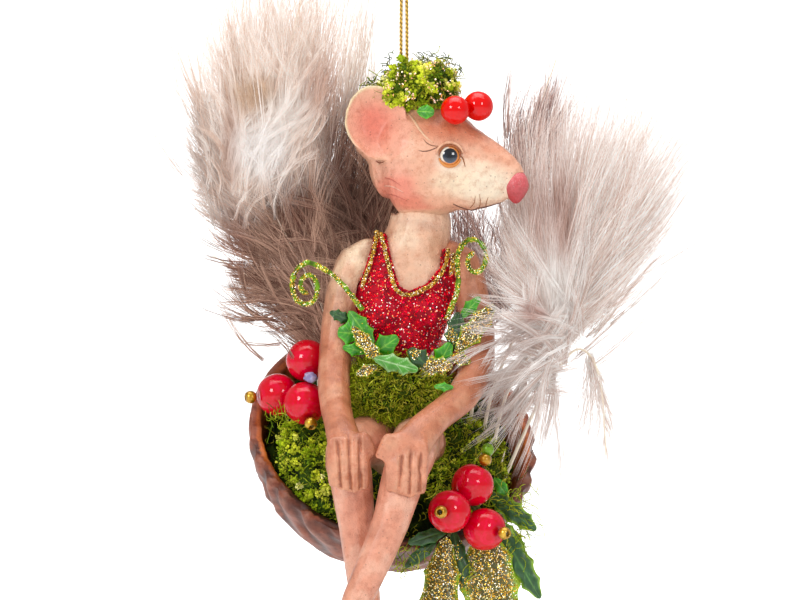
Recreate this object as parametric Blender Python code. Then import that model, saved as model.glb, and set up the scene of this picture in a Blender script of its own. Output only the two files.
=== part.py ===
"""A hanging ornament: a painted mouse that sits in half a walnut shell, between two feather wings.

All places are in metres from the top inside of the hanging loop, with X to the viewer's right,
Y away from the viewer and Z up. Left and right are the viewer's.
"""

import math

import bmesh
import bpy
from mathutils import Matrix, Vector
from mathutils.bvhtree import BVHTree

MM = 0.001
GAP = 0.3 * MM
CUT_MARGIN = 0.38 * MM
SOFT_MARGIN = 0.50 * MM
WELD_DISTANCE = 0.004 * MM

# Hanging cord and its fittings
CORD_DIAMETER = 0.8 * MM
STRAND_CLEARANCE = 0.5 * MM
LOOP_HALF_WIDTH = 3.4 * MM
LOOP_LENGTH = 15.0 * MM
CORD_LENGTH = 31.3 * MM
KNOT_RADIUS = 1.3 * MM
KNOT_HEIGHT = 3.2 * MM
BIGHT_LENGTH = 2.1 * MM
BIGHT_HALF_WIDTH = 1.35 * MM
SCREW_WIRE_DIAMETER = 0.7 * MM
SCREW_HOLE_DIAMETER = 2.6 * MM
SCREW_SHANK_LENGTH = 6.0 * MM
SWING_LIMIT = math.radians(15.0)

# Head
HEAD_LENGTH = 37.0 * MM
HEAD_WIDTH = 21.0 * MM
HEAD_HEIGHT = 26.0 * MM
HEAD_TURN = math.radians(20.0)
EAR_HEIGHT = 16.6 * MM
EAR_WIDTH = 15.4 * MM
EAR_THICKNESS = 1.3 * MM
EAR_CUP_DEPTH = 2.6 * MM
NOSE_HEIGHT = 7.2 * MM
NOSE_WIDTH = 5.6 * MM

# Body
NECK_WIDTH = 14.4 * MM
CHEST_WIDTH = 21.6 * MM
CHEST_DEPTH = 13.0 * MM
WAIST_WIDTH = 14.0 * MM
WAIST_DEPTH = 11.0 * MM
HIP_WIDTH = 18.5 * MM
HIP_DEPTH = 15.0 * MM
NECK_LENGTH = 11.5 * MM
TORSO_LENGTH = 46.0 * MM
ARM_THICKNESS = 7.6 * MM
HAND_WIDTH = 9.6 * MM
FINGER_LENGTH = 10.6 * MM
FINGER_THICKNESS = 2.6 * MM
FINGER_SPLAY = 0.15 * MM
LEG_THICKNESS = 8.0 * MM
KNEE_THICKNESS = 10.4 * MM
FOOT_LENGTH = 16.0 * MM
FOOT_THICKNESS = 6.0 * MM
BODICE_THICKNESS = 0.8 * MM
BUST_DIAMETER = 10.6 * MM
BRAID_DIAMETER = 0.9 * MM

# Walnut shell
SHELL_WIDTH = 63.0 * MM
SHELL_HEIGHT = 62.0 * MM
SHELL_DEPTH = 28.5 * MM
SHELL_WALL = 2.0 * MM
SHELL_LIP = 0.7 * MM
SHELL_TILT = math.radians(40.0)
SHELL_TURN = math.radians(12.0)
MOSS_BED_DROP = 3.0 * MM

# Berries, leaves and tendrils
PICK_BERRY_DIAMETER = 9.2 * MM
HAT_BERRY_DIAMETER = 6.1 * MM
TIP_BEAD_DIAMETER = 2.6 * MM
PICK_WIRE_DIAMETER = 0.9 * MM
LEAF_THICKNESS = 0.6 * MM
COLLAR_LEAF_LENGTH = 9.5 * MM
HOLLY_LEAF_WIDTH = 8.5 * MM
GLITTER_LEAF_WIDTH = 16.0 * MM
CURLED_LEAF_WIDTH = 11.0 * MM
TENDRIL_DIAMETER = 1.2 * MM
TENDRIL_CURL_DIAMETER = 9.4 * MM
TENDRIL_TURNS = 1.6

# Moss and feathers
HAT_WIDTH = 21.0 * MM
HAT_HEIGHT = 15.5 * MM
SKIRT_WIDTH = 24.0 * MM
SKIRT_HEIGHT = 19.0 * MM
FEATHER_THICKNESS = 1.1 * MM
FEATHER_CUP = 2.0 * MM
FEATHER_BARE = 0.22
FRONT_CUP = 0.4 * MM
FRONT_BARE = 0.42
QUILL_DIAMETER = 1.1 * MM
QUILL_SET = 3.0 * MM

# Places worked out from the sizes above
CORD_RADIUS = CORD_DIAMETER / 2
STRAND_OFFSET = (CORD_DIAMETER + STRAND_CLEARANCE) / 2
SCREW_WIRE_RADIUS = SCREW_WIRE_DIAMETER / 2
SCREW_HOLE_RADIUS = SCREW_HOLE_DIAMETER / 2
SCREW_RING_RADIUS = SCREW_HOLE_RADIUS + SCREW_WIRE_RADIUS
KNOT_TOP = -CORD_LENGTH - GAP
KNOT_BOTTOM = KNOT_TOP - KNOT_HEIGHT
PIVOT_Z = KNOT_BOTTOM - BIGHT_LENGTH
SCREW_CENTRE_Z = PIVOT_Z + CORD_RADIUS + GAP - SCREW_HOLE_RADIUS
CROWN_Z = SCREW_CENTRE_Z - SCREW_RING_RADIUS - SCREW_WIRE_RADIUS - GAP
HEAD_CENTRE = Vector((2.6 * MM, 0.5 * MM, CROWN_Z - 0.5 * HEAD_HEIGHT))
CHIN_Z = CROWN_Z - HEAD_HEIGHT
NECK_X = 3.2 * MM
SHOULDER_Z = CHIN_Z - NECK_LENGTH
HIP_Z = SHOULDER_Z - TORSO_LENGTH + 0.5 * HIP_DEPTH
SHELL_CENTRE = Vector((-2.4 * MM, 10.0 * MM, HIP_Z + 2.3 * MM))
KNEE_Y = -20.0 * MM


def mm(x, y, z):
    """A point given in millimetres."""
    return Vector((x, y, z)) * MM


def make_material(name, colour, roughness, metallic=0.0):
    """A plain finish in one colour."""
    material = bpy.data.materials.new(name)
    material.use_nodes = True
    shader = material.node_tree.nodes["Principled BSDF"]
    shader.inputs["Base Color"].default_value = (*colour, 1.0)
    shader.inputs["Roughness"].default_value = roughness
    shader.inputs["Metallic"].default_value = metallic
    return material


def place_mesh(name, bm, material, sharp_angle=40.0):
    """Turns a finished bmesh into a named, smooth-shaded object."""
    bmesh.ops.recalc_face_normals(bm, faces=bm.faces)
    mesh = bpy.data.meshes.new(name)
    bm.to_mesh(mesh)
    bm.free()
    mesh.shade_smooth()
    mesh.set_sharp_from_angle(angle=math.radians(sharp_angle))
    mesh.materials.append(material)
    obj = bpy.data.objects.new(name, mesh)
    bpy.context.collection.objects.link(obj)
    return obj


def bake(obj):
    """Replaces an object's mesh by what its modifiers make of it."""
    graph = bpy.context.evaluated_depsgraph_get()
    mesh = bpy.data.meshes.new_from_object(obj.evaluated_get(graph))
    obj.modifiers.clear()
    old = obj.data
    obj.data = mesh
    bpy.data.meshes.remove(old)


def keep_largest(obj):
    """Deletes the crumbs that a cut leaves, so that one body stays."""
    bm = bmesh.new()
    bm.from_mesh(obj.data)
    bm.verts.ensure_lookup_table()
    seen = set()
    islands = []
    for start in bm.verts:
        if start.index in seen:
            continue
        island = [start]
        seen.add(start.index)
        for vert in island:
            for edge in vert.link_edges:
                other = edge.other_vert(vert)
                if other.index not in seen:
                    seen.add(other.index)
                    island.append(other)
        islands.append(island)
    islands.sort(key=len, reverse=True)
    crumbs = [vert for island in islands[1:] for vert in island]
    bmesh.ops.delete(bm, geom=crumbs, context="VERTS")
    bm.to_mesh(obj.data)
    bm.free()


def grown_copy(obj, margin):
    """A copy of an object whose surface lies a margin outside the first."""
    mesh = obj.data.copy()
    bm = bmesh.new()
    bm.from_mesh(mesh)
    bm.normal_update()
    for vert in bm.verts:
        vert.co += vert.normal * margin
    bmesh.ops.triangulate(bm, faces=bm.faces)
    bm.to_mesh(mesh)
    bm.free()
    copy = bpy.data.objects.new("cutter", mesh)
    bpy.context.collection.objects.link(copy)
    return copy


def combine(target, other, operation):
    """Applies one exact Boolean to a target and deletes the other object."""
    modifier = target.modifiers.new("combine", "BOOLEAN")
    modifier.operation = operation
    modifier.solver = "EXACT"
    modifier.use_self = operation == "DIFFERENCE"
    modifier.object = other
    bake(target)
    bpy.data.objects.remove(other)
    bm = bmesh.new()
    bm.from_mesh(target.data)
    bmesh.ops.remove_doubles(bm, verts=bm.verts, dist=WELD_DISTANCE)
    bmesh.ops.dissolve_degenerate(bm, edges=bm.edges, dist=WELD_DISTANCE)
    bmesh.ops.triangulate(bm, faces=bm.faces)
    bm.to_mesh(target.data)
    bm.free()


def slim(obj, ratio):
    """Leaves a share of an object's triangles, the ones that shape it most."""
    modifier = obj.modifiers.new("slim", "DECIMATE")
    modifier.ratio = ratio
    bake(obj)
    obj.data.shade_smooth()


def near(first, second, reach):
    """Whether the boxes round two objects come within a reach of each other."""
    for axis in range(3):
        ones = [vert.co[axis] for vert in first.data.vertices]
        others = [vert.co[axis] for vert in second.data.vertices]
        if min(ones) > max(others) + reach or min(others) > max(ones) + reach:
            return False
    return True


def cut_clear(target, neighbours, margin=CUT_MARGIN):
    """Takes each neighbour, grown by a margin, out of the target."""
    for neighbour in neighbours:
        if near(target, neighbour, 2.0 * margin):
            combine(target, grown_copy(neighbour, margin), "DIFFERENCE")
    keep_largest(target)


def surface_of(objects):
    """One search tree over the surfaces of several objects."""
    verts = []
    faces = []
    for obj in objects:
        base = len(verts)
        verts.extend(vert.co.copy() for vert in obj.data.vertices)
        faces.extend([base + index for index in face.vertices] for face in obj.data.polygons)
    return BVHTree.FromPolygons(verts, faces)


def through(points, per_span):
    """Points on a smooth curve through the given ones, which are tuples of equal length."""
    padded = [points[0], *points, points[-1]]
    result = []
    for index in range(1, len(padded) - 2):
        before, start, end, after = padded[index - 1:index + 3]
        for step in range(per_span):
            t = step / per_span
            result.append(tuple(
                0.5 * ((2 * b) + (c - a) * t + (2 * a - 5 * b + 4 * c - d) * t * t
                       + (3 * b - a - 3 * c + d) * t ** 3)
                for a, b, c, d in zip(before, start, end, after)))
    result.append(tuple(points[-1]))
    return result


def add_ring(bm, centre, side, depth, half_side, half_depth, sides):
    """One elliptical ring of vertices."""
    return [bm.verts.new(centre
                         + side * (half_side * math.cos(2 * math.pi * index / sides))
                         + depth * (half_depth * math.sin(2 * math.pi * index / sides)))
            for index in range(sides)]


def bridge(bm, first, second):
    """Faces between two rings of equal count."""
    count = len(first)
    for index in range(count):
        after = (index + 1) % count
        bm.faces.new((first[index], first[after], second[after], second[index]))


def close_fan(bm, ring, tip):
    """Triangles from a ring to one point."""
    vert = bm.verts.new(tip)
    for index, corner in enumerate(ring):
        bm.faces.new((corner, ring[(index + 1) % len(ring)], vert))


def limb(name, stations, material, per_span=2, sides=12, reference=Vector((0, 1, 0)), cap_rings=2):
    """A smooth tapering solid with round ends.

    A station is (x, y, z, half width, half depth) in metres. The depth axis lies nearest to
    the reference direction.
    """
    rows = through([tuple(station) for station in stations], per_span)
    centres = [Vector(row[:3]) for row in rows]
    bm = bmesh.new()
    rings = []
    last = len(rows) - 1

    def frame_at(index):
        along = (centres[min(index + 1, last)] - centres[max(index - 1, 0)]).normalized()
        side = along.cross(reference).normalized()
        return along, side, side.cross(along)

    def cap(index, sign):
        along, side, depth = frame_at(index)
        half_side, half_depth = rows[index][3:5]
        reach = min(half_side, half_depth)
        made = []
        for step in range(1, cap_rings + 1):
            angle = 0.5 * math.pi * step / (cap_rings + 1)
            centre = centres[index] + along * (sign * reach * math.sin(angle))
            shrink = math.cos(angle)
            made.append(add_ring(bm, centre, side, depth, half_side * shrink,
                                 half_depth * shrink, sides))
        return made, centres[index] + along * (sign * reach)

    start_rings, start_tip = cap(0, -1.0)
    rings.extend(reversed(start_rings))
    for index, row in enumerate(rows):
        along, side, depth = frame_at(index)
        rings.append(add_ring(bm, centres[index], side, depth, row[3], row[4], sides))
    end_rings, end_tip = cap(last, 1.0)
    rings.extend(end_rings)
    for first, second in zip(rings, rings[1:]):
        bridge(bm, first, second)
    close_fan(bm, rings[0], start_tip)
    close_fan(bm, rings[-1], end_tip)
    return place_mesh(name, bm, material)


def round_limb(name, stations, material, **options):
    """A limb whose stations are (x, y, z, radius)."""
    return limb(name, [(*station, station[3]) for station in stations], material, **options)


def ball(name, centre, radii, material, segments=20, rings=12):
    """An ellipsoid with its poles on Z."""
    bm = bmesh.new()
    scale = Matrix.Diagonal((*radii, 1.0))
    bmesh.ops.create_uvsphere(bm, u_segments=segments, v_segments=rings, radius=1.0,
                              matrix=Matrix.Translation(centre) @ scale)
    return place_mesh(name, bm, material)


def lump(name, frame, radii, material, relief=0.7 * MM, waves=3.0, phase=0.0, subdivisions=2):
    """A clump of moss: an ellipsoid in a frame, whose surface rises and falls in uneven lobes."""
    bm = bmesh.new()
    bmesh.ops.create_icosphere(bm, subdivisions=subdivisions, radius=1.0)
    for vert in bm.verts:
        x, y, z = vert.co
        wave = (math.sin(waves * (2.1 * x + z) + phase) * math.cos(waves * (1.7 * y - x) + phase)
                + 0.6 * math.sin(waves * (2.6 * z + y) - phase))
        spot = Vector((x * radii[0], y * radii[1], z * radii[2])) + vert.co * (relief * wave)
        vert.co = frame @ spot
    return place_mesh(name, bm, material)


def tube(name, points, radius, material, bevel_resolution=1):
    """A round wire along a list of points, closed at both ends."""
    curve = bpy.data.curves.new(name, "CURVE")
    curve.dimensions = "3D"
    curve.bevel_depth = radius
    curve.bevel_resolution = bevel_resolution
    curve.use_fill_caps = True
    spline = curve.splines.new("POLY")
    spline.points.add(len(points) - 1)
    for spot, point in zip(spline.points, points):
        spot.co = (*point, 1.0)
    curve.materials.append(material)
    obj = bpy.data.objects.new(name, curve)
    bpy.context.collection.objects.link(obj)
    return obj


def mesh_tube(name, points, radius, material, bevel_resolution=1):
    """A wire turned into a mesh, for cutting and joining."""
    wire = tube(name, points, radius, material, bevel_resolution)
    graph = bpy.context.evaluated_depsgraph_get()
    mesh = bpy.data.meshes.new_from_object(wire.evaluated_get(graph))
    bm = bmesh.new()
    bm.from_mesh(mesh)
    bmesh.ops.remove_doubles(bm, verts=bm.verts, dist=0.001 * MM)
    bpy.data.objects.remove(wire)
    bpy.data.meshes.remove(mesh)
    return place_mesh(name, bm, material)


def leaf_solid(name, base, tip, half_widths, facing, material, arch=0.0, carriers=(), curl=0.0):
    """A thin leaf with a toothed edge.

    It runs from base to tip with its upper side towards the facing direction. The half widths
    are spread evenly along it. It arches towards that side in its middle, its edges curl by an
    angle, and it is laid on its carriers where it has any.
    """
    along = (tip - base).normalized()
    side = along.cross(facing).normalized()
    up = side.cross(along)
    length = (tip - base).length
    count = len(half_widths)
    rows = []
    for index, half in enumerate(half_widths):
        t = (index + 0.5) / count
        middle = base + along * (length * t) + up * (arch * math.sin(math.pi * t))
        edge = side * (half * math.cos(curl)) + up * (half * math.sin(curl))
        other = -side * (half * math.cos(curl)) + up * (half * math.sin(curl))
        rows.append([middle + other, middle, middle + edge])
    ends = [base, tip]
    if carriers:
        tree = surface_of(carriers)

        def laid(point):
            hit = tree.ray_cast(point + facing * (40.0 * MM), -facing)[0]
            if hit is None:
                return None
            return (hit - point).dot(facing) + 3.4 * CUT_MARGIN + LEAF_THICKNESS

        lifts = [laid(point) for row in rows for point in row]
        found = [lift for lift in lifts if lift is not None]
        usual = sum(found) / len(found) if found else 0.0
        raised = []
        for row in rows:
            raised.append([])
            for point in row:
                lift = laid(point)
                point = point + facing * (usual if lift is None else lift)
                raised[-1].append(lifted(point, tree, 2.0 * CUT_MARGIN + LEAF_THICKNESS))
        rows = raised
        ends = [base + facing * (rows[0][1] - base).dot(facing),
                tip + facing * (rows[-1][1] - tip).dot(facing)]
    bm = bmesh.new()
    top = [[bm.verts.new(point) for point in row] for row in rows]
    low = [[bm.verts.new(point - up * LEAF_THICKNESS) for point in row] for row in rows]
    ends_top = [bm.verts.new(point) for point in ends]
    ends_low = [bm.verts.new(point - up * LEAF_THICKNESS) for point in ends]
    for layer in (top, low):
        for first, second in zip(layer, layer[1:]):
            for column in range(2):
                bm.faces.new((first[column], first[column + 1], second[column + 1], second[column]))
    for layer, end_pair in ((top, ends_top), (low, ends_low)):
        for row, end in ((layer[0], end_pair[0]), (layer[-1], end_pair[1])):
            bm.faces.new((row[0], row[1], end))
            bm.faces.new((row[1], row[2], end))
    rim_top = [ends_top[0], *[row[2] for row in top], ends_top[1], *[row[0] for row in reversed(top)]]
    rim_low = [ends_low[0], *[row[2] for row in low], ends_low[1], *[row[0] for row in reversed(low)]]
    bridge(bm, rim_top, rim_low)
    return place_mesh(name, bm, material, 25.0)


def toothed(widest, teeth, steps_per_tooth=2, depth=0.3):
    """Half widths of a leaf that swells to its middle, with teeth along the edge."""
    count = teeth * steps_per_tooth
    result = []
    for index in range(count):
        t = (index + 0.5) / count
        swell = math.sin(math.pi * t) ** 0.7
        tooth = 1.0 - depth * (1.0 - (index % steps_per_tooth) / (steps_per_tooth - 1))
        result.append(widest * swell * tooth)
    return result


def feather(name, root, route, left_width, right_width, material, cup, bare, per_span=3):
    """A plume: a thin blade, thickest at its quill, on a stem that stands in the moss.

    The stem is bare for the given share of its route. The widths are the blade's reach to the
    viewer's left and right of the quill, and its edges bend back by the cup.
    """
    rows = through([tuple(point) for point in [root, *route]], per_span)
    centres = [Vector(row) for row in rows]
    last = len(centres) - 1
    bm = bmesh.new()
    rings = []
    for index, centre in enumerate(centres):
        along = (centres[min(index + 1, last)] - centres[max(index - 1, 0)]).normalized()
        side = along.cross(Vector((0, 1, 0))).normalized()
        back = side.cross(along)
        if back.y < 0.0:
            back = -back
        t = index / last
        spread = max(0.0, (t - bare) / (1.0 - bare))
        swell = max(0.0, math.sin(math.pi * spread ** 0.75)) ** 0.8
        ruffle = 1.0 + 0.06 * math.sin(9.0 * t * math.pi)
        thick = QUILL_DIAMETER / 2 + (FEATHER_THICKNESS / 2 - QUILL_DIAMETER / 2) * min(1.0, 2 * t)
        thick *= 1.0 - 0.5 * t
        right = max(thick, right_width * swell * ruffle)
        left = max(thick, left_width * swell * (2.0 - ruffle))
        ring = []
        for reach, share in ((right, 1.0), (right, 0.5), (0.0, 0.0), (left, -0.5), (left, -1.0)):
            bend = back * (cup * share * share * min(1.0, reach / (6.0 * MM)))
            ring.append((centre + side * (reach * share) + bend, abs(share)))
        front = [bm.verts.new(point - back * (thick * (1.0 - 0.8 * share)))
                 for point, share in ring]
        rear = [bm.verts.new(point + back * (thick * (1.0 - 0.8 * share)))
                for point, share in reversed(ring)]
        rings.append(front + rear)
    for first, second in zip(rings, rings[1:]):
        bridge(bm, first, second)
    for ring in (rings[0], rings[-1]):
        centre = sum((vert.co for vert in ring), Vector()) / len(ring)
        close_fan(bm, ring, centre)
    return place_mesh(name, bm, material, 60.0)


def hanging_cord(finish):
    """The doubled cord: up one strand, round the loop and down the other."""
    flare = [(0.0, LOOP_LENGTH), (0.25, 0.86 * LOOP_LENGTH), (0.75, 0.62 * LOOP_LENGTH),
             (1.0, 0.32 * LOOP_LENGTH), (0.72, 0.09 * LOOP_LENGTH)]
    half = [(-STRAND_OFFSET, 0.0, -CORD_LENGTH),
            (-STRAND_OFFSET, 0.0, -0.5 * (CORD_LENGTH + LOOP_LENGTH))]
    for share, depth in flare:
        half.append((-STRAND_OFFSET - share * (LOOP_HALF_WIDTH - STRAND_OFFSET), 0.0, -depth))
    top = [(0.0, 0.0, CORD_RADIUS)]
    other = [(-x, y, z) for x, y, z in reversed(half)]
    return tube("hanging_cord", through(half + top + other, 3), CORD_RADIUS, finish, 2)


def torus(name, centre, ring_radius, wire_radius, finish, steps=16, sides=6):
    """A wire ring in the YZ plane."""
    bm = bmesh.new()
    rings = []
    for index in range(steps):
        angle = 2 * math.pi * index / steps
        outward = Vector((0, math.cos(angle), math.sin(angle)))
        rings.append(add_ring(bm, centre + outward * ring_radius, outward, Vector((1, 0, 0)),
                              wire_radius, wire_radius, sides))
    for index in range(steps):
        bridge(bm, rings[index], rings[(index + 1) % steps])
    return place_mesh(name, bm, finish)


def screw_eye(finish):
    """A wire ring on a shank that goes down into the crown of the head."""
    ring = torus("screw_eye", Vector((0, 0, SCREW_CENTRE_Z)), SCREW_RING_RADIUS,
                 SCREW_WIRE_RADIUS, finish)
    top = SCREW_CENTRE_Z - SCREW_RING_RADIUS
    points = [(0.0, 0.0, top), (0.0, 0.0, top - SCREW_SHANK_LENGTH)]
    combine(ring, mesh_tube("shank", points, SCREW_WIRE_RADIUS * 1.2, finish), "UNION")
    return ring


def cord_knot(finish):
    """The knotted end of the cord, with the bight that passes through the screw eye."""
    middle = Vector((0, 0, 0.5 * (KNOT_TOP + KNOT_BOTTOM)))
    knot = ball("cord_knot", middle, (KNOT_RADIUS, KNOT_RADIUS, KNOT_HEIGHT / 2), finish, 12, 8)
    side = [(0.75 * BIGHT_HALF_WIDTH, 0.0, middle.z - 0.25 * KNOT_HEIGHT),
            (BIGHT_HALF_WIDTH, 0.0, PIVOT_Z + 0.6 * BIGHT_LENGTH)]
    path = side + [(0.0, 0.0, PIVOT_Z)] + [(-x, y, z) for x, y, z in reversed(side)]
    combine(knot, mesh_tube("bight", through(path, 3), CORD_RADIUS, finish), "UNION")
    return knot


def head_direction():
    """The way the nose points."""
    return Vector((math.cos(HEAD_TURN), -math.sin(HEAD_TURN), 0.0))


def head_point(along, down, across=0.0):
    """A point in the head, in shares of its length, its height and its width.

    Along runs from the back of the skull to the nose, down from the crown to the chin, and
    across to the side that faces the viewer.
    """
    forward = head_direction()
    near = Vector((-forward.y, forward.x, 0.0)) * -1.0
    back = HEAD_CENTRE - forward * (0.3 * HEAD_LENGTH)
    point = back + forward * (along * HEAD_LENGTH) + near * (across * HEAD_WIDTH)
    point.z = CROWN_Z - down * HEAD_HEIGHT
    return point


def ear(name, centre, facing, finish, segments=18):
    """A cupped disc with a round rim, open towards the facing direction."""
    facing = facing.normalized()
    side = Vector((0, 0, 1)).cross(facing).normalized()
    up = facing.cross(side)
    shares = (1.0, 0.8, 0.4)
    bm = bmesh.new()
    rings = []
    for layer, order in ((0.0, reversed(shares)), (EAR_THICKNESS, shares)):
        for share in order:
            dish = EAR_CUP_DEPTH * (1.0 - share * share) + layer
            rings.append(add_ring(bm, centre - facing * dish, side, up,
                                  0.5 * EAR_WIDTH * share, 0.5 * EAR_HEIGHT * share, segments))
    for first, second in zip(rings, rings[1:]):
        bridge(bm, first, second)
    close_fan(bm, rings[0], centre - facing * EAR_CUP_DEPTH)
    close_fan(bm, rings[-1], centre - facing * (EAR_CUP_DEPTH + EAR_THICKNESS))
    return place_mesh(name, bm, finish)


def make_head(finish, eye_screw):
    """Skull, muzzle, nose and ears in one casting, bored for the screw eye."""
    profile = [(0.06, 0.54, 0.30, 0.30), (0.16, 0.52, 0.48, 0.43), (0.30, 0.50, 0.50, 0.50),
               (0.45, 0.52, 0.47, 0.48), (0.58, 0.54, 0.41, 0.40), (0.70, 0.588, 0.343, 0.31),
               (0.82, 0.623, 0.267, 0.24), (0.91, 0.67, 0.18, 0.16)]
    stations = []
    for along, down, half_height, half_width in profile:
        stations.append((*head_point(along, down), half_width * HEAD_WIDTH,
                         half_height * HEAD_HEIGHT))
    head = limb("head", stations, finish, sides=18, reference=Vector((0, 0, 1)))
    nose = ball("nose", head_point(0.925, 0.73), (NOSE_WIDTH / 2, NOSE_WIDTH / 2, NOSE_HEIGHT / 2),
                finish, 12, 8)
    combine(head, nose, "UNION")
    forward = head_direction()
    for name, side in (("near_ear", 1.0), ("far_ear", -1.0)):
        centre = head_point(0.13, 0.19, side * 0.50)
        near = Vector((forward.y, -forward.x, 0.0)) * side
        combine(head, ear(name, centre, near * 0.85 + forward * 0.30, finish), "UNION")
    slim(head, 0.8)
    cut_clear(head, [eye_screw])
    return head


def torso_rows(extra=0.0):
    """Neck, chest, waist and hips as stations, each made wider and deeper by the extra."""
    rows = [(NECK_X + 0.6 * MM, 1.5 * MM, CHIN_Z + 4.0 * MM, 0.44 * NECK_WIDTH, 0.40 * NECK_WIDTH),
            (NECK_X + 0.4 * MM, 1.0 * MM, CHIN_Z - 1.0 * MM, 0.48 * NECK_WIDTH, 0.41 * NECK_WIDTH),
            (NECK_X - 0.4 * MM, 1.0 * MM, CHIN_Z - 0.43 * NECK_LENGTH, 0.52 * NECK_WIDTH,
             0.43 * NECK_WIDTH),
            (1.8 * MM, 1.0 * MM, SHOULDER_Z + 3.0 * MM, 0.45 * CHEST_WIDTH, 0.48 * CHEST_DEPTH),
            (0.8 * MM, 0.6 * MM, SHOULDER_Z - 1.0 * MM, 0.50 * CHEST_WIDTH, 0.50 * CHEST_DEPTH),
            (-0.2 * MM, 0.4 * MM, SHOULDER_Z - 0.16 * TORSO_LENGTH, 0.48 * CHEST_WIDTH,
             0.50 * CHEST_DEPTH),
            (-0.4 * MM, 1.5 * MM, SHOULDER_Z - 0.33 * TORSO_LENGTH, 0.53 * WAIST_WIDTH,
             0.51 * WAIST_DEPTH),
            (-0.4 * MM, 3.0 * MM, SHOULDER_Z - 0.48 * TORSO_LENGTH, 0.50 * WAIST_WIDTH,
             0.50 * WAIST_DEPTH),
            (-0.4 * MM, 4.5 * MM, SHOULDER_Z - 0.66 * TORSO_LENGTH, 0.45 * HIP_WIDTH,
             0.45 * HIP_DEPTH),
            (-0.4 * MM, 5.0 * MM, HIP_Z, 0.50 * HIP_WIDTH, 0.50 * HIP_DEPTH)]
    return [(x, y, z, wide + extra, deep + extra) for x, y, z, wide, deep in rows]


def torso_height(share):
    """The height that lies a share of the torso's length below the shoulders."""
    return SHOULDER_Z - share * TORSO_LENGTH


def make_torso(finish, head):
    """Neck, chest and hips in one casting, hollowed at the top for the chin."""
    torso = limb("torso", torso_rows(), finish, sides=16)
    cut_clear(torso, [head])
    return torso


def prism(name, outline, y_front, y_back, finish):
    """An outline in X and Z, extruded from front to back."""
    bm = bmesh.new()
    front = [bm.verts.new((x, y_front, z)) for x, z in outline]
    back = [bm.verts.new((x, y_back, z)) for x, z in outline]
    bm.faces.new(front)
    bm.faces.new(list(reversed(back)))
    bridge(bm, front, back)
    return place_mesh(name, bm, finish)


def neckline():
    """The neckline's points, from the left strap's top to the right strap's top."""
    return [(-4.0 * MM, SHOULDER_Z + 8.4 * MM), (-2.6 * MM, SHOULDER_Z + 2.0 * MM),
            (-1.1 * MM, SHOULDER_Z - 3.2 * MM), (1.1 * MM, SHOULDER_Z - 4.3 * MM),
            (4.8 * MM, SHOULDER_Z - 2.8 * MM), (7.8 * MM, SHOULDER_Z + 0.7 * MM),
            (8.6 * MM, SHOULDER_Z + 5.0 * MM)]


def armhole(side):
    """One armhole's points, from the strap's top down to the side of the chest."""
    if side < 0:
        return [(-6.4 * MM, SHOULDER_Z + 8.4 * MM), (-8.0 * MM, SHOULDER_Z + 2.6 * MM),
                (-10.0 * MM, SHOULDER_Z - 3.4 * MM), (-12.9 * MM, SHOULDER_Z - 6.3 * MM)]
    return [(11.6 * MM, SHOULDER_Z + 5.0 * MM), (11.0 * MM, SHOULDER_Z - 0.8 * MM),
            (12.9 * MM, SHOULDER_Z - 6.3 * MM)]


def make_bodice(finish, torso):
    """The dress top: a fitted shell round the chest with two bust forms and two straps."""
    bodice = dress_form(0.0, finish)
    bodice.name = "bodice"
    bust_z = SHOULDER_Z - 0.18 * TORSO_LENGTH
    for x in (-0.19 * CHEST_WIDTH, 0.22 * CHEST_WIDTH):
        centre = Vector((x, 0.4 * MM - 0.5 * CHEST_DEPTH + 2.6 * MM, bust_z))
        radius = BUST_DIAMETER / 2
        combine(bodice, ball("bust", centre, (radius, radius, radius), finish, 14, 8), "UNION")
    outline = (neckline() + armhole(1.0)
               + [(11.2 * MM, torso_height(0.257)), (5.9 * MM, torso_height(0.391)),
                  (1.8 * MM, torso_height(0.448)), (-6.4 * MM, torso_height(0.328)),
                  (-12.9 * MM, torso_height(0.257))]
               + list(reversed(armhole(-1.0))))
    combine(bodice, prism("dress_outline", outline, -20 * MM, 20 * MM, finish), "INTERSECT")
    slim(bodice, 0.6)
    cut_clear(bodice, [torso])
    return bodice


def dress_form(extra, finish):
    """The space that the dress top fills round the chest, made larger by an extra."""
    reach = GAP + BODICE_THICKNESS + extra
    return limb("dress_form", torso_rows(reach)[1:8], finish, sides=16)


def make_hand(name, rows, knuckles, thumb, finish, others):
    """An arm with its palm, four fingers and a thumb, clear of what it rests on."""
    arm = limb(name, rows, finish)
    half = FINGER_THICKNESS / 2
    for start, end in knuckles:
        middle = start.lerp(end, 0.55) - Vector((0, 0.35 * half, 0))
        finger = round_limb("finger", [(*start, half * 1.05), (*middle, half), (*end, half * 0.75)],
                            finish, per_span=1, sides=7, cap_rings=1)
        combine(arm, finger, "UNION")
    digit = round_limb("thumb", [(*thumb[0], half * 1.1), (*thumb[1], half * 0.85)], finish,
                       per_span=1, sides=7, cap_rings=1)
    combine(arm, digit, "UNION")
    slim(arm, 0.8)
    combine(arm, dress_form(CUT_MARGIN, finish), "DIFFERENCE")
    cut_clear(arm, others)
    return arm


def fan(centre, lean):
    """Start and end points of four closed fingers that lie side by side down from the knuckles."""
    spread = HAND_WIDTH - FINGER_THICKNESS
    pairs = []
    for index in range(4):
        share = (index - 1.5) / 1.5
        start = centre + Vector((share * 0.5 * spread, 0.0, 0.0))
        reach = FINGER_LENGTH * (1.0 - 0.12 * abs(share - 0.2))
        end = start + Vector((share * FINGER_SPLAY + lean, 0.06 * FINGER_LENGTH, -reach))
        pairs.append((start, end))
    return pairs


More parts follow.
